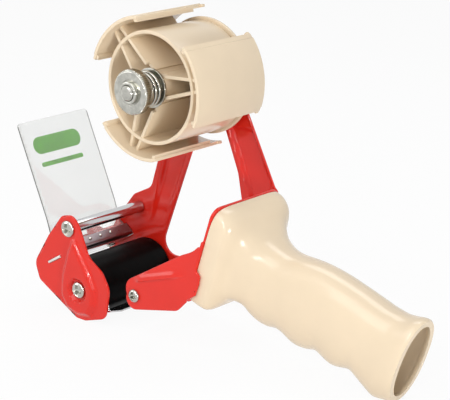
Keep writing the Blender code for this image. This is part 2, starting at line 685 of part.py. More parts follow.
def build_rod_screws(root):
    """A screw in each end of the rod, the axle and the tie bar, its head outside the plate."""
    dished = OUTSIDE + BULGE_SEAT
    sets = [("rod", (ROD_X, ROD_Z), OUTSIDE, ROD_HEAD_R, ROD_HEAD, SCREW_SHANK_R),
            ("axle", (AXLE_X, AXLE_Z), dished, ROD_HEAD_R, ROD_HEAD, AXLE_SHANK_R),
            ("tie", (TIE_X, TIE_Z), OUTSIDE, SCREW_HEAD_R, SCREW_HEAD, SCREW_SHANK_R)]
    for name, (x, z), near_plate, head_r, head, shank_r in sets:
        screws = []
        for side, plate_face in ((-1, near_plate), (1, OUTSIDE)):
            face = plate_face + GAP
            shank = face - REACH + SCREW_LENGTH - SCREW_END_PLAY
            place = Matrix.Translation((x, side * face, z)) @ Matrix.Rotation(-side * math.pi / 2, 4, "X")
            screws.append(pan_screw("screw", shank, place, head_r, head, shank_r))
        finish_all((f"near_{name}_screw", f"far_{name}_screw"), screws, "zinc", root)


# Roller


def build_roller(axle):
    half, edge = SLEEVE_LENGTH / 2, SLEEVE_EDGE
    sleeve = [(ROLLER_R - edge, half), (ROLLER_R, half - edge), (ROLLER_R, edge - half),
              (ROLLER_R - edge, -half), (SLEEVE_BORE_R, -half), (SLEEVE_BORE_R, half)]
    finish(turned("roller_sleeve", sleeve, 44), "black_rubber", axle)
    core_r = SLEEVE_BORE_R - GAP
    length = CORE_LENGTH / 2
    finish(washer_shape("roller_core", core_r, CORE_BORE_R, length, -length), "grey_plastic", axle)
    bushes = []
    for side in (1, -1):
        inner, outer = AXLE_R + BEARING_PLAY, CORE_BORE_R - GAP
        face = length + GAP
        rim = [(inner, face + BUSH_FLANGE), (BUSH_FLANGE_R, face + BUSH_FLANGE), (BUSH_FLANGE_R, face),
               (outer, face), (outer, face - BUSH_LENGTH), (inner, face - BUSH_LENGTH)]
        if side < 0:
            rim = [(radius, -y) for radius, y in rim[::-1]]
        bushes.append(plain_mesh(turned("bush", rim, 28)))
    finish_all(("far_roller_bush", "near_roller_bush"), bushes, "white_nylon", axle)


# Blade bracket, blade and flap


def build_bracket(root):
    folded = [leg(CLAMP_SLOPE, CLAMP_LEG), leg(CLAMP_SLOPE, BRACKET_BEND), leg(-BLADE_SLOPE, BRACKET_BEND),
              leg(-BLADE_SLOPE, BLADE_LEG)]
    bracket = plate("blade_bracket", [ribbon(folded, BRACKET_SHEET)], 2 * REACH, side_plane(0.0))
    tab = ribbon([leg(-BLADE_SLOPE, TAB_FROM), leg(-BLADE_SLOPE, TAB_TO)], TAB_SHEET)
    unite(bracket, plate("tabs", [tab], 2 * (OUTSIDE + TAB_PROUD), side_plane(0.0)))
    for y in blade_screw_places():
        cut(bracket, leg_drill(-BLADE_SLOPE, BLADE_SCREW_AT, y, BLADE_SHANK_R + GAP))
    for y in rivet_places():
        cut(bracket, leg_drill(CLAMP_SLOPE, RIVET_AT, y, RIVET_NECK_R + GAP))
    finish(bracket, "bright_steel", root)


def blade_screw_places():
    at = BLADE_HALF_WIDTH - BLADE_SCREW_INSET
    return [-at, at]


def rivet_places():
    return [(k - (RIVET_COUNT - 1) / 2) * RIVET_SPACING for k in range(RIVET_COUNT)]


def leg_frame(angle, distance, y, offset=0.0):
    """Frame on a bracket leg: +Z out of the V's back, origin on the sheet's middle."""
    point = leg(angle, distance, offset)
    normal = Vector((math.sin(angle), 0.0, math.cos(angle)))
    across = Vector((0.0, 1.0, 0.0))
    third = across.cross(normal)
    turn = Matrix((third, across, normal)).transposed().to_4x4()
    return Matrix.Translation((point[0], y, point[1])) @ turn


def leg_drill(angle, distance, y, radius):
    shape = bmesh.new()
    bmesh.ops.create_cone(shape, cap_ends=True, segments=16, radius1=radius, radius2=radius,
                          depth=DRILL_DEPTH)
    shape.transform(leg_frame(angle, distance, y))
    return mesh_object("drill", shape)


def build_blade(root):
    """A flat blade under the lower leg; its front edge is a row of teeth."""
    below = -BRACKET_SHEET / 2 - GAP - BLADE_SHEET / 2
    teeth = int(2 * BLADE_HALF_WIDTH / TOOTH_PITCH)
    pitch = 2 * BLADE_HALF_WIDTH / teeth
    outline = [(-BLADE_HALF_WIDTH, BLADE_FROM), (BLADE_HALF_WIDTH, BLADE_FROM)]
    for k in range(teeth):
        y = BLADE_HALF_WIDTH - k * pitch
        outline.append((y, BLADE_TO - TOOTH_DEPTH))
        outline.append((y - pitch / 2, BLADE_TO))
    outline.append((-BLADE_HALF_WIDTH, BLADE_TO - TOOTH_DEPTH))
    holes = [circle(y, BLADE_SCREW_AT, BLADE_SHANK_R + GAP, 16) for y in blade_screw_places()]
    normal = Vector((-math.sin(BLADE_SLOPE), 0.0, math.cos(BLADE_SLOPE)))
    along = Vector((-math.cos(BLADE_SLOPE), 0.0, -math.sin(BLADE_SLOPE)))
    turn = Matrix((Vector((0.0, 1.0, 0.0)), along, normal)).transposed().to_4x4()
    apex = Vector((APEX_X, 0.0, APEX_Z))
    place = Matrix.Translation(apex + normal * below) @ turn
    finish(plate("cutting_blade", [outline] + holes, BLADE_SHEET, place), "bright_steel", root)
    face = below - BLADE_SHEET / 2 - GAP
    shank = -face + BRACKET_SHEET / 2 + BLADE_SHANK_PROUD
    screws = []
    for y in blade_screw_places():
        spot = apex + normal * face + along * BLADE_SCREW_AT + Vector((0.0, y, 0.0))
        place = Matrix.Translation(spot) @ turn @ Matrix.Rotation(math.pi, 4, "X")
        screws.append(pan_screw("screw", shank, place, BLADE_HEAD_R, BLADE_HEAD, BLADE_SHANK_R))
    finish_all(("near_blade_screw", "far_blade_screw"), screws, "zinc", root)


def sheet_offsets():
    """Middle planes of the flap and of the strip that clamps it, under the upper leg."""
    flap = -(BRACKET_SHEET / 2 + GAP + FLAP_SHEET / 2)
    strip = flap - FLAP_SHEET / 2 - GAP - STRIP_SHEET / 2
    return flap, strip


def flap_hinge():
    """Where the clear sheet leaves the clamp."""
    return leg(CLAMP_SLOPE, FLAP_TO + FLAP_FREE, sheet_offsets()[0])


def flap_path():
    """The free sheet's middle line, from the clamp up, relative to its bending line."""
    first = Vector((-math.sin(FLAP_KNEE_LEAN), math.cos(FLAP_KNEE_LEAN)))
    second = Vector((-math.sin(FLAP_LEAN), math.cos(FLAP_LEAN)))
    knee = first * FLAP_KNEE
    return [tuple(first * FLAP_START), tuple(knee), tuple(knee + second * (FLAP_LENGTH - FLAP_KNEE))]


def strip_outline():
    """The clamp strip: across, and down the leg from the apex; lugs stand between slanted notches."""
    half = FLAP_HALF_WIDTH
    points = [(-half, STRIP_FROM), (half, STRIP_FROM)]
    for start, end, slant in reversed(STRIP_LUGS):
        if end < 1.0:
            points.append(((end + slant) * half, STRIP_FLOOR))
        points += [(end * half, STRIP_TO), (start * half, STRIP_TO)]
        if start > -1.0:
            points.append(((start - slant) * half, STRIP_FLOOR))
    return points


def build_flap(root, hinge):
    flap_at, strip_at = sheet_offsets()
    rooted = ribbon([leg(CLAMP_SLOPE, FLAP_FROM, flap_at), leg(CLAMP_SLOPE, FLAP_TO, flap_at)], FLAP_SHEET)
    clamped = plate("flap_clamped_edge", [rooted], 2 * FLAP_HALF_WIDTH, side_plane(0.0))
    for y in rivet_places():
        cut(clamped, leg_drill(CLAMP_SLOPE, RIVET_AT, y, RIVET_NECK_R + GAP))
    finish(clamped, "clear_sheet", root)
    free = plate("clear_flap", [ribbon(flap_path(), FLAP_SHEET)], 2 * FLAP_HALF_WIDTH, side_plane(0.0))
    finish(free, "clear_sheet", hinge)
    holes = [circle(y, RIVET_AT, RIVET_NECK_R + GAP, 12) for y in rivet_places()]
    along = Vector((-math.cos(CLAMP_SLOPE), 0.0, math.sin(CLAMP_SLOPE)))
    normal = Vector((math.sin(CLAMP_SLOPE), 0.0, math.cos(CLAMP_SLOPE)))
    turn = Matrix((Vector((0.0, 1.0, 0.0)), along, normal)).transposed().to_4x4()
    place = Matrix.Translation(Vector((APEX_X, 0.0, APEX_Z)) + normal * strip_at) @ turn
    finish(plate("flap_clamp_strip", [strip_outline()] + holes, STRIP_SHEET, place), "red_paint", root)
    back = BRACKET_SHEET / 2 + GAP
    front = strip_at - STRIP_SHEET / 2 - GAP
    profile = [(0.0, back + RIVET_HEAD), (RIVET_R * 0.7, back + RIVET_HEAD * 0.75), (RIVET_R, back),
               (RIVET_NECK_R, back), (RIVET_NECK_R, front), (RIVET_R, front),
               (RIVET_R * 0.8, front - RIVET_HEAD * 0.6), (0.0, front - RIVET_HEAD * 0.75)]
    rivets = []
    for y in rivet_places():
        rivet = plain_mesh(spun("rivet", profile, 14))
        rivet.data.transform(leg_frame(CLAMP_SLOPE, RIVET_AT, y))
        rivets.append(rivet)
    finish_all([f"flap_rivet_{k + 1}" for k in range(RIVET_COUNT)], rivets, "zinc", root)


def build_stripper(root):
    """Thin plate behind the roller that keeps tape from winding on, with an ear at each end."""
    start = Vector((STRIPPER_FRONT_X, STRIPPER_FRONT_Z))
    along = Vector((math.cos(STRIPPER_SLOPE), math.sin(STRIPPER_SLOPE)))
    up = Vector((-along.y, along.x))
    end = start + along * STRIPPER_LENGTH
    sheet = ribbon([tuple(start), tuple(end)], STRIPPER_SHEET)
    leaf = plate("stripper_plate", [sheet], 2 * REACH, side_plane(0.0))
    sink = -up * LAP_IN / 2
    ear = start + along * STRIPPER_EAR_LENGTH
    outline = [tuple(start + sink), tuple(ear + sink), tuple(ear + up * STRIPPER_EAR),
               tuple(start + up * STRIPPER_EAR + along * STRIPPER_EAR_SLANT)]
    for side in (-1, 1):
        middle = side * (REACH - STRIPPER_SHEET / 2 - LAP_IN / 4)
        unite(leaf, plate("ear", [outline], STRIPPER_SHEET, side_plane(middle)))
    finish(leaf, "bright_steel", root)


# Hub


def polar(radius, angle):
    return (radius * math.cos(angle), radius * math.sin(angle))


def arc(radius, start, end, steps):
    return [polar(radius, start + (end - start) * k / steps) for k in range(steps + 1)]


def tab_outline(centre):
    """Cross-section of one outer tab: an arc with a thicker lip at each end."""
    half = TAB_SPAN / 2
    inner = TAB_R - HUB_WALL
    lip_r = inner - LIP_DEPTH
    lip = LIP_WIDTH / TAB_R
    taper = LIP_TAPER / TAB_R
    outer = arc(TAB_R, centre - half, centre + half, 14)
    closing = [polar(lip_r, centre + half), polar(lip_r, centre + half - lip)]
    under = arc(inner, centre + half - lip - taper, centre - half + lip + taper, 12)
    opening = [polar(lip_r, centre - half + lip), polar(lip_r, centre - half)]
    return outer + closing + under + opening


def rib_outline(centre, side):
    """One rib of a pair, from the boss to its tab; the pair draws together outwards."""
    along = Vector(polar(1.0, centre))
    across = Vector((-along.y, along.x)) * side
    reach = TAB_R - HUB_WALL / 2
    slope = (RIB_HALF_AXIS - RIB_HALF_TAB) / reach
    inner = BOSS_R - RIB
    start = along * inner + across * (RIB_HALF_AXIS - slope * inner)
    end = along * reach + across * RIB_HALF_TAB
    return ribbon([tuple(start), tuple(end)], RIB)


def build_hub(axis):
    far = DRUM_HALF
    drum = [(DRUM_R, far), (DRUM_R, -far), (DRUM_R - DRUM_WALL, -far), (DRUM_R - DRUM_WALL, far)]
    hub = plain_mesh(turned("hub", drum, DRUM_SIDES))
    windows = []
    for k in range(TAB_COUNT):
        middle = TAB_FIRST + (k + 0.5) * 2 * math.pi / TAB_COUNT
        low, high = middle - WINDOW_SPAN / 2, middle + WINDOW_SPAN / 2
        windows.append(arc(WINDOW_OUTER_R, low, high, 8) + arc(WINDOW_INNER_R, high, low, 6))
    bore = SPINDLE_R + BORE_PLAY + BUSH_WALL + GAP
    rim = circle(0.0, 0.0, DRUM_R - DRUM_WALL / 2, DRUM_SIDES)
    back = plate("back", [rim, circle(0.0, 0.0, bore + BACK_BORE_PLAY)] + windows, BACK_WALL,
                 side_plane(HUB_END - BACK_WALL / 2))
    boss = plain_mesh(washer_shape("boss", BOSS_R, bore, HUB_END, -BOSS_HALF))
    unite(hub, back)
    for k in range(TAB_COUNT):
        centre = TAB_FIRST + k * 2 * math.pi / TAB_COUNT
        tab = plate("tab", [tab_outline(centre)], 2 * TAB_HALF, side_plane(0.0))
        near, behind = -(DRUM_HALF - RIB_SET_BACK), HUB_END - LAP_IN / 2
        for side in (-1, 1):
            unite(tab, plate("rib", [rib_outline(centre, side)], behind - near, side_plane((near + behind) / 2)))
        unite(hub, tab)
    unite(hub, boss)
    clear = [(0.0, HUB_END + MM), (bore, HUB_END + MM), (bore, -BOSS_HALF - MM), (0.0, -BOSS_HALF - MM)]
    seat = [(0.0, -BOSS_HALF), (SEAT_R + STACK_ROOM, -BOSS_HALF), (SEAT_R + STACK_ROOM, -DRUM_HALF - MM),
            (0.0, -DRUM_HALF - MM)]
    cut(hub, plain_mesh(turned("clear", clear, 32)), plain_mesh(turned("seat", seat, 32)))
    finish(hub, "beige_plastic", axis)
    face = DRUM_HALF + GAP
    finish(washer_shape("hub_end_flange", FLANGE_R, FLANGE_R - FLANGE_WIDTH, face + FLANGE, face),
           "beige_plastic", axis)
    inner, outer = SPINDLE_R + BORE_PLAY, SPINDLE_R + BORE_PLAY + BUSH_WALL
    finish(washer_shape("hub_bush", outer, inner, HUB_END, -BOSS_HALF), "white_nylon", axis)


# Spindle stack, all about the hub's axis


def build_spindle(axis):
    end, chamfer = SPINDLE_NEAR, SPINDLE_CHAMFER
    rod = [(0.0, end), (SPINDLE_R - chamfer, end), (SPINDLE_R, end - chamfer),
           (SPINDLE_R, chamfer - end), (SPINDLE_R - chamfer, -end), (0.0, -end)]
    finish(turned("spindle", rod, 28), "zinc", axis)
    bore = SPINDLE_R + BORE_PLAY
    rear_friction = HUB_END + GAP
    finish(washer_shape("rear_friction_washer", FRICTION_R, bore, rear_friction + WASHER, rear_friction),
           "brown_fibre", axis)
    spacer = rear_friction + WASHER + GAP
    finish(washer_shape("spacer_sleeve", SPACER_R, bore, HALF_INSIDE - GAP, spacer), "zinc", axis)
    finish(washer_shape("frame_washer", FRAME_WASHER_R, bore, OUTSIDE + GAP + WASHER, OUTSIDE + GAP), "zinc", axis)
    hexagon = [polar(FRAME_NUT_R, math.radians(30 + 60 * k)) for k in range(6)]
    nut = plate("frame_nut", [hexagon, circle(0.0, 0.0, bore, 24)], FRAME_NUT,
                side_plane(FRAME_NUT_FACE + FRAME_NUT / 2))
    finish(nut, "zinc", axis)
    finish(washer_shape("front_friction_washer", FRICTION_R, bore, -FRONT_STACK, -FRONT_STACK - WASHER),
           "brown_fibre", axis)
    seat = FRONT_STACK + WASHER + GAP
    finish(washer_shape("spring_seat_washer", SEAT_R, bore, -seat, -seat - WASHER), "zinc", axis)


def spring_route():
    """Wire centre line: a helix with a straight end along Y, one wire long, at each face."""
    near, far = -(SPRING_FACE - GAP), -(SEAT_FACE + GAP)
    climb = far - near - 2 * SPRING_WIRE
    count = SPRING_TURNS * SPRING_POINTS
    route = [(SPRING_R, near, 0.0), (SPRING_R, near + SPRING_WIRE * 0.5, 0.0)]
    for k in range(count + 1):
        angle = 2 * math.pi * k / SPRING_POINTS
        y = near + SPRING_WIRE + climb * k / count
        route.append((SPRING_R * math.cos(angle), y, SPRING_R * math.sin(angle)))
    route += [(SPRING_R, far - SPRING_WIRE * 0.5, 0.0), (SPRING_R, far, 0.0)]
    return route


def least_self_gap(route, wire):
    """Least distance between stretches half a turn or more apart, less the wire."""
    apart = SPRING_POINTS // 2
    least = 1.0
    for i, p in enumerate(route):
        for q in route[i + apart:]:
            least = min(least, (Vector(p) - Vector(q)).length)
    return least - wire


def build_spring(axis):
    route = spring_route()
    curve = bpy.data.curves.new("tension_spring", "CURVE")
    curve.dimensions = "3D"
    curve.bevel_depth = SPRING_WIRE / 2
    curve.bevel_resolution = 1
    curve.use_fill_caps = True
    spline = curve.splines.new("POLY")
    spline.points.add(len(route) - 1)
    for point, place in zip(spline.points, route):
        point.co = (*place, 1.0)
    item = bpy.data.objects.new("tension_spring", curve)
    bpy.context.scene.collection.objects.link(item)
    finish(plain_mesh(item), "zinc", axis)
    print("least gap of the spring to itself, mm:", round(least_self_gap(route, SPRING_WIRE) / MM, 3))


def build_nut(washer_axis, nut_axis):
    bore = SPINDLE_R + BORE_PLAY
    near = SPRING_FACE + WASHER
    finish(washer_shape("pressure_washer", SEAT_R, bore, -SPRING_FACE, -near), "zinc", washer_axis)
    outline = []
    for k in range(NUT_KNURLS):
        turn = 2 * math.pi / NUT_KNURLS
        outline += [polar(NUT_R - KNURL_DEPTH, turn * k), polar(NUT_R, turn * (k + 0.5))]
    rim = plate("tension_nut", [outline, circle(0.0, 0.0, bore, 28)], NUT_RIM,
                side_plane(-NUT_FACE - NUT_RIM / 2))
    top = NUT_FACE + NUT_RIM
    collar = plain_mesh(washer_shape("collar", NUT_COLLAR_R, bore - LAP_IN / 10, -top + MM, -top - NUT_COLLAR))
    unite(rim, collar)
    past = -top - 2 * NUT_COLLAR
    clear = [(0.0, -NUT_FACE + MM), (bore, -NUT_FACE + MM), (bore, past), (0.0, past)]
    cut(rim, plain_mesh(turned("clear", clear, 28)))
    finish(rim, "zinc", nut_axis)


# Handle


def between(stations, t):
    """Smooth value of every section measure at distance t behind the web."""
    count = len(stations)
    index = max(k for k in range(count - 1) if stations[k][0] <= t or k == 0)
    ahead = stations[index + 1]
    here = stations[index]
    span = ahead[0] - here[0]
    u = (t - here[0]) / span
    values = []
    for column in range(1, len(here)):
        def slope(k):
            low, high = max(k - 1, 0), min(k + 1, count - 1)
            return (stations[high][column] - stations[low][column]) / (stations[high][0] - stations[low][0])
        a, b = here[column], ahead[column]
        m0, m1 = slope(index) * span, slope(index + 1) * span
        values.append((2 * u**3 - 3 * u**2 + 1) * a + (u**3 - 2 * u**2 + u) * m0
                      + (3 * u**2 - 2 * u**3) * b + (u**3 - u**2) * m1)
    return values


def handle_ring(t, wall=0.0):
    """Points of one section of the handle, square to the web's normal."""
    last = HANDLE_STATIONS[-1][0]
    ahead = t / MM + (wall * WALL_LEAD / MM)
    width, top, bottom, upper, lower = between(HANDLE_STATIONS, min(ahead, last))
    middle = (top + bottom) / 2
    half_width = width * MM * HANDLE_HALF_WIDTH / (HANDLE_STATIONS[0][1] * MM) - wall
    half_height = (top - bottom) / 2 * MM - wall
    ring = []
    for k in range(HANDLE_SIDES):
        angle = 2 * math.pi * (k + 0.5) / HANDLE_SIDES
        c, s = math.cos(angle), math.sin(angle)
        power = upper if s > 0 else lower
        y = half_width * math.copysign(abs(c) ** (2 / power), c)
        v = half_height * math.copysign(abs(s) ** (2 / power), s)
        point = web_point(t, middle * MM + v, y)
        point.z = max(point.z, 0.0)
        ring.append(point)
    return ring


def handle_steps():
    """Section distances: each station and one more in every long stretch."""
    marks = [station[0] * MM for station in HANDLE_STATIONS]
    steps = [marks[0]]
    for low, high in zip(marks, marks[1:]):
        if high - low > SECTION_SPACING:
            steps.append((low + high) / 2)
        steps.append(high)
    return steps


def build_handle(root):
    """Hollow grip: outer and inner lofts joined at the mouth and at the open end."""
    steps = handle_steps()
    outer = [handle_ring(t) for t in steps]
    inner = [handle_ring(t, HANDLE_WALL) for t in steps]
    shape = bmesh.new()
    rings = [[shape.verts.new(p) for p in ring] for ring in outer + inner[::-1]]
    for first, second in zip(rings, rings[1:] + rings[:1]):
        for k in range(HANDLE_SIDES):
            n = (k + 1) % HANDLE_SIDES
            shape.faces.new((first[k], first[n], second[n], second[k]))
    bmesh.ops.recalc_face_normals(shape, faces=shape.faces)
    handle = mesh_object("handle", shape)
    mouth = HANDLE_STATIONS[0][0] * MM
    wall = HANDLE_WALL / 2 / MM
    top = HANDLE_STATIONS[3][2] - wall
    bottom = HANDLE_STATIONS[3][3] + wall
    half = HANDLE_RIB / 2 / MM
    sheet = rounded([(-half, bottom, 0.2), (half, bottom, 0.2), (half, top, 0.2), (-half, top, 0.2)])
    unite(handle, plate("rib", [sheet], RIB_DEPTH, web_plane(RIB_FROM + RIB_DEPTH / 2)))
    pilot_depth = SCREW_LENGTH + SCREW_END_PLAY
    for side in (-1, 1):
        boss = circle(0.0, side * SCREW_AT, HANDLE_BOSS_R, 20)
        unite(handle, plate("boss", [boss], HANDLE_BOSS, web_plane(mouth + HANDLE_BOSS / 2)))
        pilot = circle(0.0, side * SCREW_AT, SCREW_SHANK_R + GAP, 16)
        cut(handle, plate("pilot", [pilot], pilot_depth, web_plane(pilot_depth / 2 - mouth)))
    finish(handle, "beige_plastic", root, smooth=True)
    screws = []
    flip = Matrix.Rotation(math.pi, 4, "X")
    for side in (-1, 1):
        place = web_plane(-SHEET - GAP) @ Matrix.Translation((0.0, side * SCREW_AT, 0.0)) @ flip
        screws.append(pan_screw("screw", SCREW_LENGTH, place))
    finish_all(("lower_handle_screw", "upper_handle_screw"), screws, "zinc", root)


def overall_centre():
    """X of the hub's axis that puts the object's box over the origin."""
    hinge = Vector(flap_hinge())
    front = hinge.x + flap_path()[-1][0] - FLAP_SHEET / 2 * math.cos(FLAP_LEAN)
    last = HANDLE_STATIONS[-1][0] * MM
    rear = max(point.x for point in handle_ring(last))
    return -(front + rear) / 2


def main():
    clear_scene()
    hub_x = overall_centre()
    root = axis_empty("dispenser_origin", hub_x, 0.0, None)
    hub_axis = axis_empty("hub_axis", 0.0, HUB_HEIGHT, root)
    washer_axis = axis_empty("washer_travel", 0.0, HUB_HEIGHT, root)
    nut_axis = axis_empty("nut_axis", 0.0, 0.0, washer_axis)
    roller_axis = axis_empty("roller_axis", AXLE_X, AXLE_Z, root)
    bend = flap_hinge()
    flap_axis = axis_empty("flap_bend", bend[0], bend[1], root)
    build_main_frame(root)
    build_front_cheek(root)
    build_rods(root)
    build_rod_screws(root)
    build_roller(roller_axis)
    build_bracket(root)
    build_blade(root)
    build_flap(root, flap_axis)
    build_stripper(root)
    build_hub(hub_axis)
    build_spindle(hub_axis)
    build_spring(hub_axis)
    build_nut(washer_axis, nut_axis)
    build_handle(root)
    bpy.context.view_layer.update()
    for item in (hub_axis, roller_axis, flap_axis):
        print(item.name, [round(value / MM, 3) for value in item.matrix_world.translation])


main()
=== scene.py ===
"""Looks of a hand-held packing tape dispenser with a pistol grip.

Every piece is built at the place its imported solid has: X from the roller (-X) to the grip (+X), Y along
the axles with the open loading side at -Y, Z up from the resting surface.  Outlines are written from the
hub's axis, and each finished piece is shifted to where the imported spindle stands.
"""
import math

import bmesh
import bpy
import numpy as np
from mathutils import Matrix, Vector
from mathutils.geometry import delaunay_2d_cdt


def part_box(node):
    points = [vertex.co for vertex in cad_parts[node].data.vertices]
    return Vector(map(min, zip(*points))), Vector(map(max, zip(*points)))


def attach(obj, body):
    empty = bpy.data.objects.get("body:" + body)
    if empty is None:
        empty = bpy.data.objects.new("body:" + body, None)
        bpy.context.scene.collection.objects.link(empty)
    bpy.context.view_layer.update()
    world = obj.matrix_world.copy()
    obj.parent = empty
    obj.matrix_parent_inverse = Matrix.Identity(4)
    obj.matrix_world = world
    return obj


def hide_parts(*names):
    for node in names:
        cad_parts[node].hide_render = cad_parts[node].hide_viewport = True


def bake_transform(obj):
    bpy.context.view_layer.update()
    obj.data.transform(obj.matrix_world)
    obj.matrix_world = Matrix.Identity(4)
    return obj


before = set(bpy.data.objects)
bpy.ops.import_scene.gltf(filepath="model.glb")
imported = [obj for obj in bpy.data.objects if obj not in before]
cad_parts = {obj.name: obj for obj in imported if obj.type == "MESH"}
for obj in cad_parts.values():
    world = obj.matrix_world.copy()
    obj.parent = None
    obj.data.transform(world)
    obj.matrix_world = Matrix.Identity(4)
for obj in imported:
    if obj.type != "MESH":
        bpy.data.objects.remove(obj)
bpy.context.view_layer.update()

bl_info = {
    "name": "Tape Dispenser",
    "version": (1, 0, 0),
    "blender": (4, 5, 0),
    "location": "View3D > Sidebar > Dispenser",
    "description": "Builds a hand-held packing tape dispenser and its stage",
    "category": "Add Mesh",
}

MM = 0.001
SPINDLE_LOW, SPINDLE_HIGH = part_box("spindle")
HUB_X = (SPINDLE_LOW.x + SPINDLE_HIGH.x) / 2
HUB_Z = (SPINDLE_LOW.z + SPINDLE_HIGH.z) / 2

# Outlines in millimetres from the hub's axis line and the resting surface, with a corner radius where
# there is a third value
CHEEK = [(-58.8, 57.4, 6), (-69.8, 43.5, 22), (-81.2, 25.5, 7), (-77.6, 15.6, 5), (-48.0, 0, 5),
         (-41.0, 0, 5)]
CHEEK_REAR = [(-25.4, 5.0, 6), (-22.4, 22.5, 9), (-28.0, 31.5, 9), (-38.0, 37.5, 9), (-45.4, 54.0, 8),
              (-50.2, 59.4, 6)]
PLATE_REAR = [(-18.0, 11.0, 12), (24.9, 23.4, 6), (31.3, 30.6, 3)]
PLATE_TOP = [(46.8, 79.9, 2), (45.0, 83.0, 2), (6.6, 158.0, 14), (-16.4, 158.0, 14), (-45.2, 64.4, 7)]
WINDOW = [(-38.0, 27.0, 8), (-5.5, 115.0, 5), (6.9, 115.0, 5), (19.3, 85.5, 18), (23.2, 66.0, 10),
          (11.5, 28.6, 8)]
FRONT_CHANNEL = [(-28.8, 108.0), (-13.0, 104.0), (-36.0, 41.5), (-45.4, 43.0)]
REAR_CHANNEL = [(11.5, 111.0), (27.8, 110.8), (42.0, 84.5), (41.0, 70.0), (31.5, 66.0)]
REAR_EDGE = [(45.6, 83.0), (11.5, 148.0)]
BULGE = [(-47.6, 45.0), (-50.0, 45.2), (-53.0, 38.0), (-57.5, 24.0), (-58.6, 12.0), (-54.0, 5.0),
         (-46.0, 2.6), (-37.0, 4.0), (-32.4, 11.0), (-31.9, 20.0), (-36.5, 29.0), (-42.5, 38.0)]
NEAR_ARM = [(-9.8, 31.6, 7), (-9.2, 15.2, 6), (27.4, 23.8, 6), (33.4, 30.0, 3)]
NEAR_ARM_TOP = [(44.2, 65.0, 3), (37.6, 59.0, 14), (30.0, 55.4, 14)]
ARM_LAP = [(0.0, -26.5), (4.0, -21.5), (4.2, -14.0), (3.6, -9.8), (0.0, -7.8)]
CREASE = [(-4.0, 32.6), (35.0, 45.6)]

# Axes and planes
AXLE = (-45.0 * MM, 17.4 * MM)
ROD = (-53.5 * MM, 51.0 * MM)
TIE = (-3.0 * MM, 24.8 * MM)
WEB_LEAN = math.radians(17.5)
WEB_AT = (42.2 * MM, 57.0 * MM)
APEX = (-59.2 * MM, 34.0 * MM)
CLAMP_SLOPE = math.radians(37.0)
BLADE_SLOPE = math.radians(-31.0)
GAP = 0.3 * MM
RECESS_SHARE = 0.92                    # a cross recess's reach, of its head's radius
TURN_OVER = Matrix.Rotation(math.pi, 4, "X")
TO_HUB = Matrix.Translation((0, 0, HUB_Z))
TAB_STEEL_LIT, LIT_TABS_FROM = (0.85, 0.80, 0.76), 28.2 * MM        # the bracket's tabs, past the plates: painted light, a lighter steel than the painted reflection on the bracket between the plates
FLAP_EDGE_SHADE, EDGE_SHADE_FROM = (0.20, 0.21, 0.20), 26.6 * MM       # painted shade on the flap's cut edges, for the darkness that light reflected inside the clear sheet gives them
THREAD_DEPTH, THREAD_PITCH = 0.45 * MM, 1.25 * MM
HUB_HALF = 21.2                        # half the drum's length, in millimetres
SPRING_ROOM = 8.2                      # from the drum to the pressing washer, in millimetres
SPINDLE_BORE = 4.3                       # bore of the parts on the spindle, in millimetres

# Handle sections: distance behind the web, half width, top, bottom, squareness of the upper and lower half
HANDLE_STATIONS = [
    (0.3, 27.7, 28.0, -28.2, 7.0, 14.0), (4.0, 27.7, 27.8, -28.4, 6.5, 14.0),
    (7.5, 27.4, 26.4, -28.6, 6.0, 13.0), (10.0, 26.7, 24.8, -28.6, 5.4, 12.0),
    (11.6, 25.2, 23.2, -27.9, 5.0, 9.0), (13.2, 22.9, 21.5, -25.2, 4.4, 6.0),
    (15.5, 20.7, 19.6, -22.2, 3.7, 4.6), (20.0, 18.4, 17.0, -22.4, 3.1, 3.4),
    (23.5, 17.2, 16.1, -23.7, 2.8, 2.9), (27.6, 16.5, 15.4, -26.4, 2.6, 2.6),
    (32.3, 16.0, 15.2, -28.0, 2.4, 2.4), (37.9, 15.8, 15.9, -27.7, 2.3, 2.3),
    (42.8, 15.6, 17.1, -25.8, 2.3, 2.3), (47.5, 15.5, 18.4, -25.7, 2.3, 2.3),
    (54.3, 15.3, 19.9, -27.3, 2.3, 2.3), (58.5, 15.2, 20.5, -27.1, 2.3, 2.3),
    (63.3, 15.2, 20.9, -25.6, 2.3, 2.3), (69.1, 15.2, 21.1, -22.9, 2.3, 2.3),
    (76.9, 15.2, 21.1, -24.2, 2.3, 2.3), (80.5, 15.2, 21.1, -24.3, 2.3, 2.3),
    (84.0, 15.2, 21.0, -23.2, 2.3, 2.3), (90.9, 15.1, 20.7, -20.4, 2.3, 2.3),
    (96.7, 15.0, 20.6, -22.1, 2.3, 2.3), (104.4, 15.1, 21.5, -25.2, 2.2, 2.2),
    (107.5, 15.2, 22.3, -25.8, 2.2, 2.2), (110.5, 15.2, 23.4, -25.0, 2.2, 2.2),
    (114.0, 15.0, 25.0, -23.7, 2.2, 2.2), (117.2, 14.3, 25.6, -22.7, 2.2, 2.2),
    (117.8, 13.6, 25.0, -22.1, 2.2, 2.2),
]


def length(label, text, default):
    return bpy.props.FloatProperty(name=label, description=text, default=default * MM, min=0.0, unit="LENGTH",
                                   precision=5)


def colour(label, text, default):
    return bpy.props.FloatVectorProperty(name=label, description=text, default=default, min=0.0, max=1.0,
                                         size=3, subtype="COLOR")


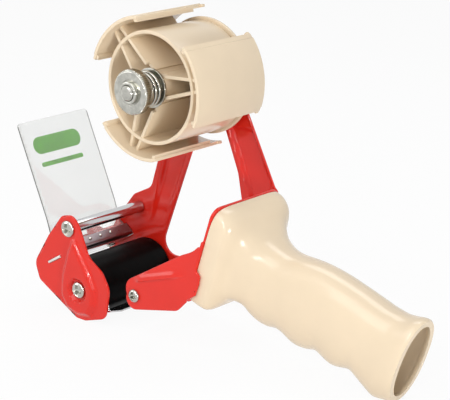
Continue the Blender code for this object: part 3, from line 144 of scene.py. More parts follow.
class DispenserSizes(bpy.types.PropertyGroup):
    sheet: length("Sheet", "Thickness of the pressed frame", 1.5)
    half_inside: length("Half width inside", "From the middle to a side plate's inner face", 28.0)
    rim: length("Rim rounding", "Rounding of the pressed sheet's edges", 0.45)
    emboss: length("Channel depth", "Depth of the channels pressed in the far plate", 2.3)
    bulge: length("Cheek bulge", "Height of the cheek's teardrop", 2.5)
    rod_radius: length("Rod radius", "Radius of the guide rod", 3.4)
    head_radius: length("Head radius", "Radius of the rod's and the axle's heads", 4.7)
    roller_radius: length("Roller radius", "Radius of the rubber sleeve", 16.8)
    roller_length: length("Roller length", "Length of the rubber sleeve", 54.0)
    bracket_sheet: length("Bracket sheet", "Thickness of the blade bracket", 1.2)
    clamp_leg: length("Clamp leg", "Length of the bracket's upper leg", 6.8)
    flap_sheet: length("Flap sheet", "Thickness of the clear flap", 0.5)
    flap_length: length("Flap length", "Free length of the clear flap", 67.2)
    drum_radius: length("Drum radius", "Outer radius of the hub's drum", 30.1)
    tab_radius: length("Tab radius", "Outer radius of the hub's tabs", 38.25)
    hub_wall: length("Hub wall", "Wall of the hub's drum and tabs", 2.0)
    spindle_radius: length("Spindle radius", "Radius of the threaded spindle", 4.0)
    spring_radius: length("Spring radius", "Radius of the spring's wire centre line", 8.9)
    spring_wire: length("Spring wire", "Diameter of the spring's wire", 1.6)
    nut_radius: length("Nut radius", "Radius over the knurls of the tension nut", 11.8)
    nut_rim: length("Nut rim", "Width of the tension nut's knurled rim", 5.0)
    handle_wall: length("Handle wall", "Wall of the handle moulding", 3.0)


class DispenserColours(bpy.types.PropertyGroup):
    red_paint: colour("Red paint", "Enamel of the pressed frame", (0.70, 0.020, 0.010))
    beige_plastic: colour("Beige plastic", "Moulding of the handle and hub", (0.77, 0.63, 0.45))
    zinc: colour("Zinc", "Plated nuts, screws and washers", (0.50, 0.495, 0.45))
    # painted reflection: the bracket's steel gets a dark pinkish grey that stands in for the black roller and
    # red plates it reflects
    bracket_steel_painted_reflection: colour("Bracket steel", "Duller steel of the blade bracket", (0.30, 0.25, 0.26))
    bright_steel: colour("Bright steel", "Rod, blade and stripper", (0.56, 0.56, 0.57))
    black_rubber: colour("Black rubber", "Roller sleeve", (0.0025, 0.0025, 0.0025))
    clear_sheet: colour("Clear sheet", "Flap over the blade", (0.88, 0.89, 0.88))
    white_nylon: colour("White nylon", "Bearing bushes", (0.80, 0.79, 0.76))
    brown_fibre: colour("Brown fibre", "Friction washers", (0.23, 0.13, 0.065))
    grey_plastic: colour("Grey plastic", "Tube under the sleeve", (0.25, 0.25, 0.26))
    green_print: colour("Green print", "Plain printed bars on the flap", (0.13, 0.60, 0.01))
    floor: colour("Floor", "Pale floor and background", (0.90, 0.90, 0.90))


# Outlines


def rounded(corners, turn_step=9.0):
    """Fillet each (a, b, radius) corner, in millimetres, and return points in metres."""
    points = []
    count = len(corners)
    for index in range(count):
        here = Vector(corners[index][:2]) * MM
        radius = corners[index][2] * MM
        if radius == 0:
            points.append(tuple(here))
            continue
        before = Vector(corners[index - 1][:2]) * MM
        after = Vector(corners[(index + 1) % count][:2]) * MM
        u = (before - here).normalized()
        v = (after - here).normalized()
        half = u.angle(v) / 2
        reach = min(radius / math.tan(half), 0.48 * (before - here).length, 0.48 * (after - here).length)
        centre = here + (u + v).normalized() * (reach / math.cos(half))
        start = here + u * reach - centre
        finish = here + v * reach - centre
        turn = start.angle_signed(finish)
        steps = max(2, math.ceil(abs(math.degrees(turn)) / turn_step))
        for step in range(steps + 1):
            points.append(tuple(centre + Matrix.Rotation(-turn * step / steps, 2) @ start))
    return points


def circle(a, b, radius, count=32):
    turn = 2 * math.pi / count
    return [(a + radius * math.cos(turn * k), b + radius * math.sin(turn * k)) for k in range(count)]


def polar(radius, angle):
    return (radius * math.cos(angle), radius * math.sin(angle))


def arc(radius, start, end, steps):
    return [polar(radius, start + (end - start) * k / steps) for k in range(steps + 1)]


def ribbon(path, thickness):
    """Outline of a folded sheet whose middle follows the path."""
    left, right = [], []
    last = len(path) - 1
    for index, point in enumerate(path):
        here = Vector(point)
        into = here - Vector(path[index - 1]) if index else Vector(path[1]) - here
        out = Vector(path[index + 1]) - here if index < last else into
        u, v = into.normalized(), out.normalized()
        normal = Vector((-u.y - v.y, u.x + v.x)) / (1 + u.dot(v)) * (thickness / 2)
        left.append(tuple(here + normal))
        right.append(tuple(here - normal))
    return left + right[::-1]


def dense(loop, step):
    """Add points along the long sides of a closed outline."""
    points = []
    for here, after in zip(loop, loop[1:] + loop[:1]):
        count = max(1, round(math.dist(here, after) / step))
        for k in range(count):
            share = k / count
            points.append((here[0] + (after[0] - here[0]) * share, here[1] + (after[1] - here[1]) * share))
    return points


def widened(loop, width, hole):
    """Move a closed outline off the material by width, or into it where width is negative."""
    points = np.array(loop, float)
    u = points - np.roll(points, 1, 0)
    u /= np.linalg.norm(u, axis=1)[:, None]
    v = np.roll(u, -1, 0)
    ahead = np.roll(points, -1, 0)
    area = (points[:, 0] * ahead[:, 1] - ahead[:, 0] * points[:, 1]).sum()
    side = (1 if area > 0 else -1) * (-1 if hole else 1)
    first = np.stack([u[:, 1], -u[:, 0]], 1) * side
    second = np.stack([v[:, 1], -v[:, 0]], 1) * side
    lean = np.maximum(1 + (first * second).sum(1), 0.35)[:, None]
    return points + (first + second) / lean * width


def edges_of(loops):
    starts = np.vstack([np.array(loop, float) for loop in loops])
    ends = np.vstack([np.roll(np.array(loop, float), -1, 0) for loop in loops])
    return starts, ends


def inside(points, loops):
    """Which points lie within the first outline and outside its holes."""
    starts, ends = edges_of(loops)
    crossings = np.zeros(len(points), int)
    for (a0, b0), (a1, b1) in zip(starts, ends):
        if b0 == b1:
            continue
        span = (points[:, 1] >= b0) != (points[:, 1] >= b1)
        at = a0 + (points[:, 1] - b0) * (a1 - a0) / (b1 - b0)
        crossings += span & (points[:, 0] < at)
    return crossings % 2 == 1


def distance(points, loops, closed=True):
    """Distance of each point to the nearest side of the outlines."""
    if closed:
        starts, ends = edges_of(loops)
    else:
        line = np.array(loops, float)
        starts, ends = line[:-1], line[1:]
    nearest = np.full(len(points), 1.0)
    for start, end in zip(starts, ends):
        along = end - start
        share = np.clip(((points - start) @ along) / max((along * along).sum(), 1e-18), 0, 1)
        nearest = np.minimum(nearest, np.linalg.norm(points - start - share[:, None] * along, axis=1))
    return nearest


def smooth(value):
    value = np.clip(value, 0, 1)
    return value * value * (3 - 2 * value)


def raised(points, corners, slope):
    """0 outside a pressed outline and 1 on its floor, with a soft wall of that width between."""
    loop = [(a * MM, b * MM) for a, b in corners]
    depth = distance(points, [loop]) * np.where(inside(points, [loop]), 1, -1)
    return smooth(depth / slope + 0.35)


# Shapes: (points, faces) in a frame of their own


def filled(loops, spacing):
    """Triangles that fill an outline with holes, with points inside it at a spacing."""
    corners, sides = [], []
    for loop in loops:
        first = len(corners)
        corners += [tuple(point) for point in loop]
        sides += [(first + k, first + (k + 1) % len(loop)) for k in range(len(loop))]
    if spacing:
        low, high = loops[0].min(0), loops[0].max(0)
        rows = np.arange(low[1] + spacing / 2, high[1], spacing * math.sin(math.pi / 3))
        grid = [(a, b) for row, b in enumerate(rows)
                for a in np.arange(low[0] + spacing * (0.25 + 0.5 * (row % 2)), high[0], spacing)]
        grid = np.array(grid)
        keep = inside(grid, loops) & (distance(grid, loops) > 0.6 * spacing)
        corners += [tuple(point) for point in grid[keep]]
    found = delaunay_2d_cdt([Vector(point) / MM for point in corners], sides, [], 0, 1e-5)
    points = np.array([vert[:] for vert in found[0]]) * MM
    faces = np.array([face[:] for face in found[2]])
    keep = inside(points[faces].mean(1), loops)
    return points, [tuple(face) for face in faces[keep]]


def slab(outline, holes=(), thickness=1.5 * MM, edge=0.3 * MM, relief=None, spacing=None, steps=3):
    """A plate in its own plane with rounded rims; relief lifts both of its faces along the third axis."""
    loops = [outline] + list(holes)
    if spacing:
        loops = [dense(loop, spacing) for loop in loops]
    half = thickness / 2
    points, faces = [], []
    turns = [math.pi / 2 * k / steps for k in range(steps + 1)]
    rim = [(-edge * (1 - math.sin(turn)), half - edge * (1 - math.cos(turn))) for turn in turns]
    rim += [(shift, -level) for shift, level in rim[::-1]]
    for number, loop in enumerate(loops):
        rings = []
        for shift, level in rim:
            ring = widened(loop, shift, number > 0)
            rings.append(range(len(points), len(points) + len(ring)))
            points += [(a, b, level) for a, b in ring]
        for first, second in zip(rings, rings[1:]):
            for k in range(len(first)):
                n = (k + 1) % len(first)
                faces.append((first[k], first[n], second[n], second[k]))
    flat, triangles = filled([widened(loop, -edge, number > 0) for number, loop in enumerate(loops)], spacing)
    for level in (half, -half):
        base = len(points)
        points += [(a, b, level) for a, b in flat]
        faces += [tuple(base + k for k in triangle) for triangle in triangles]
    points = np.array(points)
    if relief:
        points[:, 2] += relief(points[:, :2])
    return points, faces


def turned(profile, steps=72):
    """A piece turned about the third axis; profile is a closed outline of (radius, height)."""
    points, faces, rows = [], [], []
    for radius, height in profile:
        first = len(points)
        if radius < 1e-7:
            rows.append([first] * steps)
            points.append((0.0, 0.0, height))
        else:
            rows.append(list(range(first, first + steps)))
            points += [(*polar(radius, 2 * math.pi * k / steps), height) for k in range(steps)]
    for first, second in zip(rows, rows[1:] + rows[:1]):
        for k in range(steps):
            n = (k + 1) % steps
            face = tuple(dict.fromkeys((first[k], first[n], second[n], second[k])))
            if len(face) > 2:
                faces.append(face)
    return np.array(points), faces


def ring(outer, inner, low, high, edge=0.2, steps=72):
    """A washer or sleeve, in millimetres, with rounded rims."""
    corners = ((outer, low), (outer, high), (inner, high), (inner, low))
    return turned(rounded([(*corner, edge) for corner in corners], 30), steps)


def loft(rings, closed=False):
    """Join rings of as many points; closed joins the last to the first, otherwise both ends are capped."""
    count = len(rings[0])
    points = np.array([point for loop in rings for point in loop], float)
    faces = []
    last = len(rings) if closed else len(rings) - 1
    for row in range(last):
        a, b = row * count, ((row + 1) % len(rings)) * count
        for k in range(count):
            n = (k + 1) % count
            faces.append((a + k, a + n, b + n, b + k))
    if not closed:
        faces.append(tuple(range(count)))
        faces.append(tuple(range(last * count, last * count + count)))
    return points, faces


def tube(route, radius, sides=14):
    """A round wire that follows a route, with slightly rounded ends."""
    path = [Vector(point) for point in route]
    last = len(path) - 1
    tangents = [(path[min(k + 1, last)] - path[max(k - 1, 0)]).normalized() for k in range(last + 1)]
    side = tangents[0].orthogonal().normalized()
    rings = []
    for k, (centre, tangent) in enumerate(zip(path, tangents)):
        if k:
            side = (tangents[k - 1].rotation_difference(tangent) @ side).normalized()
        up = tangent.cross(side)
        size = radius * (0.8 if k in (0, last) else 1.0)
        rings.append([centre + (side * math.cos(turn) + up * math.sin(turn)) * size
                      for turn in (2 * math.pi * n / sides for n in range(sides))])
    return loft(rings)


def moved(shape, place):
    points, faces = shape
    matrix = np.array(place)
    return points @ matrix[:3, :3].T + matrix[:3, 3], faces


def axes(a, b, n, origin):
    """Frame whose three axes and origin are given in the dispenser's frame."""
    return Matrix.Translation(origin) @ Matrix((Vector(a), Vector(b), Vector(n))).transposed().to_4x4()


def side_plane(y):
    """Outline (a, b) stands in the XZ plane at y; the third axis is towards the near side."""
    return axes((1, 0, 0), (0, 0, 1), (0, -1, 0), (0, y, 0))


def web_plane(t):
    """Outline (a, b) lies on the web: a along Y, b up the web, t behind its rear face."""
    s, c = math.sin(WEB_LEAN), math.cos(WEB_LEAN)
    return axes((0, 1, 0), (s, 0, c), (c, 0, -s), (WEB_AT[0] + t * c, 0, WEB_AT[1] - t * s))


def axle_line(centre):
    """Third axis along Y, through a point of the XZ plane."""
    return axes((1, 0, 0), (0, 0, -1), (0, 1, 0), (centre[0], 0, centre[1]))


def mesh_of(name, shapes):
    points, faces, first = [], [], 0
    for shape_points, shape_faces in shapes:
        points.append(shape_points)
        faces += [tuple(first + k for k in face) for face in shape_faces]
        first += len(shape_points)
    mesh = bpy.data.meshes.new(name)
    mesh.from_pydata(np.vstack(points).tolist(), [], faces)
    work = bmesh.new()
    work.from_mesh(mesh)
    bmesh.ops.remove_doubles(work, verts=work.verts, dist=1e-6)
    bmesh.ops.dissolve_degenerate(work, edges=work.edges, dist=1e-7)
    bmesh.ops.recalc_face_normals(work, faces=work.faces)
    work.to_mesh(mesh)
    work.free()
    return mesh


def piece(name, shapes, slot, body, nodes, crease=32.0):
    """A finished piece: its mesh and material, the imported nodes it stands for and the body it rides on."""
    mesh = mesh_of(name, shapes)
    mesh.transform(Matrix.Translation((HUB_X, 0, 0)))
    mesh.shade_smooth()
    mesh.set_sharp_from_angle(angle=math.radians(crease))
    mesh.materials.append(bpy.data.materials[slot + "_finish"])
    item = bpy.data.objects.new(name, mesh)
    bpy.context.scene.collection.objects.link(item)
    if nodes:
        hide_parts(*nodes)
    if body:
        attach(item, body)
    return item


# Materials


def node(tree, kind, **values):
    made = tree.nodes.new(kind)
    for key, value in values.items():
        if key in made.inputs:
            made.inputs[key].default_value = value
        else:
            setattr(made, key, value)
    return made


def speckle(tree, scale, detail, stretch=(1, 1, 1)):
    """Noise in the piece's own frame, in cycles to the metre."""
    place = node(tree, "ShaderNodeTexCoord")
    shift = node(tree, "ShaderNodeMapping")
    shift.inputs["Scale"].default_value = stretch
    noise = node(tree, "ShaderNodeTexNoise", Scale=scale, Detail=detail)
    tree.links.new(place.outputs["Object"], shift.inputs["Vector"])
    tree.links.new(shift.outputs["Vector"], noise.inputs["Vector"])
    return noise.outputs["Fac"]


def finish(name, base, roughness, spread, metallic=0.0, tone=0.06, tone_scale=60.0, grain=900.0, bump=0.02,
           stretch=(1, 1, 1), mirror=0.5, ior=1.5, edge_tint=1.0):
    """One procedural finish: mottled tone, uneven gloss and a fine relief."""
    made = bpy.data.materials.new(name + "_finish")
    made.use_nodes = True
    tree = made.node_tree
    shader = tree.nodes["Principled BSDF"]
    shader.inputs["Metallic"].default_value = metallic
    shader.inputs["IOR"].default_value = ior
    shader.inputs["Specular IOR Level"].default_value = mirror
    shader.inputs["Specular Tint"].default_value = (*[edge_tint] * 3, 1)
    mottle = speckle(tree, tone_scale, 3.0, stretch)
    tones = node(tree, "ShaderNodeValToRGB")
    for element, position, gain in zip(tones.color_ramp.elements, (0.3, 0.7), (1 - tone, 1 + tone)):
        element.position = position
        element.color = (*[min(1, value * gain) for value in base], 1)
    tree.links.new(mottle, tones.inputs["Fac"])
    tree.links.new(tones.outputs["Color"], shader.inputs["Base Color"])
    fine = speckle(tree, grain, 4.0, stretch)
    gloss = node(tree, "ShaderNodeMapRange",
                 **{"To Min": max(0.02, roughness - spread), "To Max": roughness + spread})
    tree.links.new(fine, gloss.inputs["Value"])
    tree.links.new(gloss.outputs["Result"], shader.inputs["Roughness"])
    relief = node(tree, "ShaderNodeBump", Strength=bump, Distance=0.5 * MM)
    tree.links.new(fine, relief.inputs["Height"])
    tree.links.new(relief.outputs["Normal"], shader.inputs["Normal"])
    return made


def tint_past(tree, tint, half):
    """Give a finish another colour past half across, and return that region's mask."""
    shader = tree.nodes["Principled BSDF"]
    place = node(tree, "ShaderNodeTexCoord")
    split = node(tree, "ShaderNodeSeparateXYZ")
    across = node(tree, "ShaderNodeMath", operation="ABSOLUTE")
    side = node(tree, "ShaderNodeMath", operation="GREATER_THAN")
    side.inputs[1].default_value = half
    tree.links.new(place.outputs["Object"], split.inputs[0])
    tree.links.new(split.outputs["Y"], across.inputs[0])
    tree.links.new(across.outputs[0], side.inputs[0])
    mix = node(tree, "ShaderNodeMixRGB", Color2=(*tint, 1))
    tree.links.new(side.outputs[0], mix.inputs["Fac"])
    tree.links.new(shader.inputs["Base Color"].links[0].from_socket, mix.inputs["Color1"])
    tree.links.new(mix.outputs["Color"], shader.inputs["Base Color"])
    return side.outputs[0]


def clear_finish(name, base, edge, half):
    """A clear sheet whose cut edges, past half across, are painted grey and less clear: painted shade for how
    light inside the sheet darkens them.
    """
    tree = finish(name, base, 0.05, 0.02, tone=0.01, grain=300.0, bump=0.004, ior=1.49).node_tree
    shader = tree.nodes["Principled BSDF"]
    # painted shade: grey colour and less transmission on the cut edges
    edges = tint_past(tree, edge, half)
    clear = node(tree, "ShaderNodeMapRange", **{"To Min": 0.93, "To Max": 0.1})
    tree.links.new(edges, clear.inputs["Value"])
    tree.links.new(clear.outputs["Result"], shader.inputs["Transmission Weight"])


def build_finishes(colours):
    finish("red_paint", colours.red_paint, 0.13, 0.02, tone=0.04, tone_scale=40, grain=420, bump=0.018,
           mirror=0.38)
    finish("beige_plastic", colours.beige_plastic, 0.21, 0.04, tone=0.02, tone_scale=50, grain=1800,
           bump=0.01)
    finish("zinc", colours.zinc, 0.18, 0.08, 1.0, tone=0.15, tone_scale=300, grain=900, bump=0.03)
    # painted reflection: dark pinkish steel for the reflected roller and red plates, with a dark edge tint
    # that darkens its grazing reflections
    bracket = finish("bracket_steel_painted_reflection", colours.bracket_steel_painted_reflection, 0.30, 0.06, 1.0, tone=0.1, tone_scale=200,
                     grain=500, bump=0.02, edge_tint=0.35)
    # painted light: the tabs standing out past the plates get a lit, lighter steel
    tint_past(bracket.node_tree, TAB_STEEL_LIT, LIT_TABS_FROM)
    finish("bright_steel", colours.bright_steel, 0.16, 0.06, 1.0, tone=0.05, tone_scale=200, grain=500,
           bump=0.02, stretch=(6, 0.4, 6))
    finish("black_rubber", colours.black_rubber, 0.36, 0.06, tone=0.3, tone_scale=120, grain=900, bump=0.04,
           stretch=(1, 2.5, 1), ior=1.12)
    clear_finish("clear_sheet", colours.clear_sheet, FLAP_EDGE_SHADE, EDGE_SHADE_FROM)
    finish("white_nylon", colours.white_nylon, 0.42, 0.05, grain=1500)
    finish("brown_fibre", colours.brown_fibre, 0.75, 0.08, tone=0.3, tone_scale=900, grain=2500, bump=0.15)
    finish("grey_plastic", colours.grey_plastic, 0.5, 0.06, grain=1500)
    finish("green_print", colours.green_print, 0.4, 0.04, tone=0.03, grain=1500, mirror=0.1)


# Screws and pins


def cross_head(radius, height, recess):
    """A domed head with a cross recess, its seat at height 0, turned about the third axis."""
    rim, steps = 0.16, 8
    profile = [(0.0, height)]
    for k in range(1, steps + 1):
        turn = math.pi / 2 * k / steps
        profile.append((radius * math.sin(turn), height * (rim + (1 - rim) * math.cos(turn))))
    profile += [(radius, 0.0), (0.0, 0.0)]
    head = solid("head", turned(profile, 64))
    wide, narrow = recess * 0.30, recess * 0.13
    for turn in (0.0, math.pi / 2):
        rings = []
        for level, arm, half in ((height * 1.3, recess, wide), (height * 0.15, recess * 0.5, narrow)):
            rings.append([(-arm, -half, level), (arm, -half, level), (arm, half, level), (-arm, half, level)])
        cutter = solid("cross", moved(loft(rings), Matrix.Rotation(turn, 4, "Z")))
        modifier = head.modifiers.new("recess", "BOOLEAN")
        modifier.operation = "DIFFERENCE"
        modifier.object = cutter
        bpy.context.view_layer.update()
        cut = bpy.data.meshes.new_from_object(head.evaluated_get(bpy.context.evaluated_depsgraph_get()))
        head.modifiers.clear()
        head.data = cut
        bpy.data.objects.remove(cutter, do_unlink=True)
    mesh = head.data
    points = np.array([vert.co[:] for vert in mesh.vertices])
    faces = [tuple(face.vertices) for face in mesh.polygons]
    bpy.data.objects.remove(head, do_unlink=True)
    return points, faces


def solid(name, shape):
    """A working object for a cut."""
    item = bpy.data.objects.new(name, mesh_of(name, [shape]))
    bpy.context.scene.collection.objects.link(item)
    return item


def pin(radius, low, high):
    return turned(rounded([(0.0, low, 0), (radius, low, 0.3), (radius, high, 0.3), (0.0, high, 0)], 30), 48)


def screw(head_radius, head_height, shank_radius, shank):
    """A pan-head screw whose head stands on height 0 and whose shank goes down, in millimetres."""
    return [cross_head(head_radius * MM, head_height * MM, head_radius * RECESS_SHARE * MM),
            pin(shank_radius, -shank, 0.0)]


# Frame


def leg(angle, along, offset=0.0):
    """A point on one leg of the blade bracket; offset is upwards from the sheet's middle."""
    return (APEX[0] - math.cos(angle) * along + math.sin(angle) * offset,
            APEX[1] + math.sin(angle) * along + math.cos(angle) * offset)


def leg_plane(angle, offset):
    """Outline (a, b): a across, b down the leg from the apex, third axis up from the sheet."""
    point = leg(angle, 0.0, offset)
    return axes((0, 1, 0), (-math.cos(angle), 0, math.sin(angle)), (math.sin(angle), 0, math.cos(angle)),
                (point[0], 0, point[1]))


def tab_slot():
    return ribbon([leg(BLADE_SLOPE, 0.9 * MM), leg(BLADE_SLOPE, 12.5 * MM)], 1.6 * MM)


def plate_relief(size):
    """The far plate's pressed channels and the turned-in lip along its rear edge."""
    front_wall, rear_wall, fade_height = 3.6 * MM, 2.8 * MM, 38.0 * MM
    lip_height, lip_width = 1.0 * MM, 2.2 * MM

    def relief(points):
        fade = smooth((points[:, 1] - fade_height) / fade_height)
        channels = raised(points, FRONT_CHANNEL, front_wall) * fade + raised(points, REAR_CHANNEL, rear_wall)
        edge = distance(points, [(a * MM, b * MM) for a, b in REAR_EDGE], closed=False)
        return -size.emboss * channels + lip_height * smooth(1 - edge / lip_width)
    return relief


def cheek_relief(size):
    """The near cheek's teardrop, dished round the axle's head."""
    def relief(points):
        from_axle = np.linalg.norm(points - np.array(AXLE), axis=1)
        dish = smooth((from_axle - 5.4 * MM) / (2.0 * MM))
        return size.bulge * raised(points, BULGE, 3.6 * MM) * (0.12 + 0.88 * dish)
    return relief


def arm_relief():
    """The near arm's pressed crease: a slow rise from above and a short drop below it."""
    crease_height, above, below = 1.5 * MM, 5.0 * MM, 1.0 * MM

    def relief(points):
        start, end = (np.array(point) * MM for point in CREASE)
        along = (end - start) / np.linalg.norm(end - start)
        across = np.array((-along[1], along[0]))
        reach = (points - start) @ along / np.linalg.norm(end - start)
        level = (points - start) @ across
        rise = np.where(level > 0, smooth(1 - level / above), smooth(1 + level / below))
        return crease_height * rise * smooth(reach * 6) * smooth((1 - reach) * 3)
    return relief


def build_frame(size):
    middle = size.half_inside + size.sheet / 2
    outside = size.half_inside + size.sheet
    far = slab(rounded(CHEEK + PLATE_REAR + PLATE_TOP), [rounded(WINDOW), tab_slot()], size.sheet, size.rim,
               plate_relief(size), 1.0 * MM)
    bend = 2.2 * MM
    web_top, joint, free, web_foot, fold_top = 28.2, 8.6, 27.7, -28.4, 22.4
    side, lap_edge = (outside - bend) / MM, 0.3 - outside / MM
    face = rounded([(lap_edge, web_foot, 3), (side, web_foot, 0), (side, fold_top, 0.2), (22.0, web_top, 6),
                    (-free, web_top, 6), (-free, joint, 0.5), (lap_edge, joint, 0.5)])
    web = slab(face, (), size.sheet, size.rim, spacing=3 * MM)
    quarter = arc(bend, 0.0, math.pi / 2, 8) + arc(bend - size.sheet, math.pi / 2, 0.0, 8)
    fold = slab(quarter, (), (fold_top - web_foot) * MM, size.rim)
    fold_middle = Matrix.Translation((side * MM, (fold_top + web_foot) / 2 * MM, -bend))
    fold_place = web_plane(0.0) @ fold_middle @ axes((1, 0, 0), (0, 0, 1), (0, 1, 0), (0, 0, 0))
    lap = [web_plane(t * MM) @ Vector((0, height * MM, 0)) for t, height in ARM_LAP]
    rear = [(point.x / MM, point.z / MM, 1.5) for point in lap]
    arm = slab(rounded(NEAR_ARM + rear + NEAR_ARM_TOP), (), size.sheet, size.rim, arm_relief(), 0.7 * MM)
    piece("frame_pressing", [
        moved(far, side_plane(middle)),
        moved(web, web_plane(-size.sheet / 2)),
        moved(fold, fold_place),
        moved(arm, side_plane(-middle)),
    ], "red_paint", "frame", ["main_frame"])
    cheek = slab(rounded(CHEEK + CHEEK_REAR), [tab_slot()], size.sheet, size.rim, cheek_relief(size),
                 0.9 * MM)
    piece("near_cheek", [moved(cheek, side_plane(-middle))], "red_paint", "frame", ["front_cheek"])


def cross_screw(name, place, head_radius, head_height, shank_radius, shank):
    shapes = [moved(shape, place) for shape in screw(head_radius, head_height, shank_radius, shank)]
    piece(name + "_body", shapes, "zinc", "frame", [name])


def build_pins(size):
    """The three bars between the plates, the screws in their ends and the two screws of the handle."""
    reach = size.half_inside / MM - 0.3
    bars = [("rod_body", "guide_rod", size.rod_radius / MM, ROD, "bright_steel"),
            ("axle_body", "roller_axle", 3.0, AXLE, "zinc"), ("tie_bar_body", "tie_bar", 4.0, TIE, "zinc")]
    for name, covers, radius, centre, slot in bars:
        piece(name, [moved(pin(radius, -reach, reach), axle_line(centre))], slot, "frame", [covers])
    seat = (size.half_inside + size.sheet + GAP) / MM
    head = size.head_radius / MM
    for name, centre, head_radius, height, shank_radius, dish in (
            ("rod", ROD, head, 1.9, 1.9, 0.0), ("axle", AXLE, head, 1.9, 1.5, 0.6),
            ("tie", TIE, 3.6, 2.2, 1.9, 0.0)):
        shank = seat - reach + 8.5
        far = axle_line(centre) @ Matrix.Translation((0, 0, seat * MM))
        near = axle_line(centre) @ Matrix.Translation((0, 0, -(seat + dish) * MM)) @ TURN_OVER
        cross_screw(f"far_{name}_screw", far, head_radius, height, shank_radius, shank)
        cross_screw(f"near_{name}_screw", near, head_radius, height, shank_radius, shank + dish)
    for name, height in (("lower_handle_screw", -17.0), ("upper_handle_screw", 17.0)):
        place = web_plane(-size.sheet - GAP) @ Matrix.Translation((0, height * MM, 0)) @ TURN_OVER
        cross_screw(name, place, 3.6, 2.2, 1.9, 9.5)


# Roller


def build_roller(size):
    half = size.roller_length / 2 / MM
    radius = size.roller_radius / MM
    sleeve = rounded([(radius, -half, 1.1), (radius, half, 1.1), (11.0, half, 0.4), (11.0, -half, 0.4)], 15)
    piece("rubber_sleeve", [moved(turned(sleeve, 96), axle_line(AXLE))], "black_rubber", "roller",
          ["roller_sleeve"])
    core = ring(10.7, 5.6, -26.1, 26.1)
    piece("sleeve_tube", [moved(core, axle_line(AXLE))], "grey_plastic", "roller", ["roller_core"])
    bush = turned(rounded([(3.3, 17.4, 0.2), (3.3, 27.5, 0.3), (7.5, 27.5, 0.4), (7.5, 26.4, 0.2),
                           (5.3, 26.4, 0.1), (5.3, 17.4, 0.3)], 30), 48)
    piece("far_bush", [moved(bush, axle_line(AXLE))], "white_nylon", "roller", ["far_roller_bush"])
    piece("near_bush", [moved(bush, axle_line(AXLE) @ TURN_OVER)], "white_nylon", "roller",
          ["near_roller_bush"])


# Bracket, blade and flap


def bent(start, corner, end, radius, steps=8):
    """A path of two straights joined by an arc."""
    return rounded([(start[0] / MM, start[1] / MM, 0), (corner[0] / MM, corner[1] / MM, radius),
                    (end[0] / MM, end[1] / MM, 0)], 90.0 / steps)


def build_bracket(size):
    path = bent(leg(CLAMP_SLOPE, size.clamp_leg), APEX, leg(BLADE_SLOPE, 15.5 * MM), 1.4)
    body = slab(ribbon(path, size.bracket_sheet), (), 2 * (size.half_inside - GAP), 0.25 * MM)
    tab_long, stands_out = 4.0 * MM, 0.4 * MM
    tab = slab(ribbon([leg(BLADE_SLOPE, 1.1 * MM), leg(BLADE_SLOPE, 12.3 * MM)], 1.3 * MM), (), tab_long,
               0.2 * MM)
    reach = size.half_inside + size.sheet + stands_out - tab_long / 2
    shapes = [moved(body, side_plane(0))] + [moved(tab, side_plane(y)) for y in (reach, -reach)]
    piece("folded_bracket", shapes, "bracket_steel_painted_reflection", "frame", ["blade_bracket"])
    half, back, root, tip = 26.0 * MM, 3.0 * MM, 25.7 * MM, 27.5 * MM
    teeth, blade_sheet = 20, 0.7 * MM
    pitch = 2 * half / teeth
    outline = [(-half, back), (half, back)]
    for k in range(teeth):
        y = half - k * pitch
        outline += [(y, root), (y - pitch / 2, tip)]
    outline.append((-half, root))
    below = -(size.bracket_sheet / 2 + GAP + blade_sheet / 2)
    blade = slab(outline, (), blade_sheet, 0.12 * MM, steps=2)
    piece("toothed_blade", [moved(blade, leg_plane(BLADE_SLOPE, below))], "bright_steel", "frame",
          ["cutting_blade"])
    for name, y in (("near_blade_screw", -16.0), ("far_blade_screw", 16.0)):
        seat = leg_plane(BLADE_SLOPE, below - blade_sheet / 2 - GAP)
        place = seat @ Matrix.Translation((y * MM, 8.5 * MM, 0)) @ TURN_OVER
        cross_screw(name, place, 2.8, 1.4, 1.5, 4.2)


def along_path(shape, path):
    """Bend a flat shape: its second axis follows a path of the XZ plane, its third axis stands on it."""
    points, faces = shape
    line = np.array(path)
    marks = np.concatenate([[0], np.cumsum(np.linalg.norm(np.diff(line, axis=0), axis=1))])
    tangents = np.gradient(line, axis=0)
    tangents /= np.linalg.norm(tangents, axis=1)[:, None]
    at = np.stack([np.interp(points[:, 1], marks, line[:, k]) for k in (0, 1)], 1)
    along = np.stack([np.interp(points[:, 1], marks, tangents[:, k]) for k in (0, 1)], 1)
    normal = np.stack([-along[:, 1], along[:, 0]], 1)
    placed = at + normal * points[:, 2:3]
    return np.stack([placed[:, 0], points[:, 0], placed[:, 1]], 1), faces


def flap_path(size):
    """The free sheet's middle line from the clamp up, in the dispenser's frame."""
    offset = -(size.bracket_sheet / 2 + GAP + size.flap_sheet / 2)
    hinge = Vector(leg(CLAMP_SLOPE, 12.4 * MM, offset))
    knee_lean, lean, knee = math.radians(18.0), math.radians(24.6), 10.6 * MM
    first = Vector((-math.sin(knee_lean), math.cos(knee_lean)))
    second = Vector((-math.sin(lean), math.cos(lean)))
    corner = hinge + first * knee
    top = corner + second * (size.flap_length - knee)
    path = bent(hinge + first * 0.5 * MM, corner, top, 40.0, 12)
    return hinge, dense_line(path, 1.5 * MM)


def dense_line(path, step):
    """Add points along an open path."""
    points = []
    for here, after in zip(path, path[1:]):
        count = max(1, round(math.dist(here, after) / step))
        points += [tuple(Vector(here).lerp(Vector(after), k / count)) for k in range(count)]
    return points + [tuple(path[-1])]


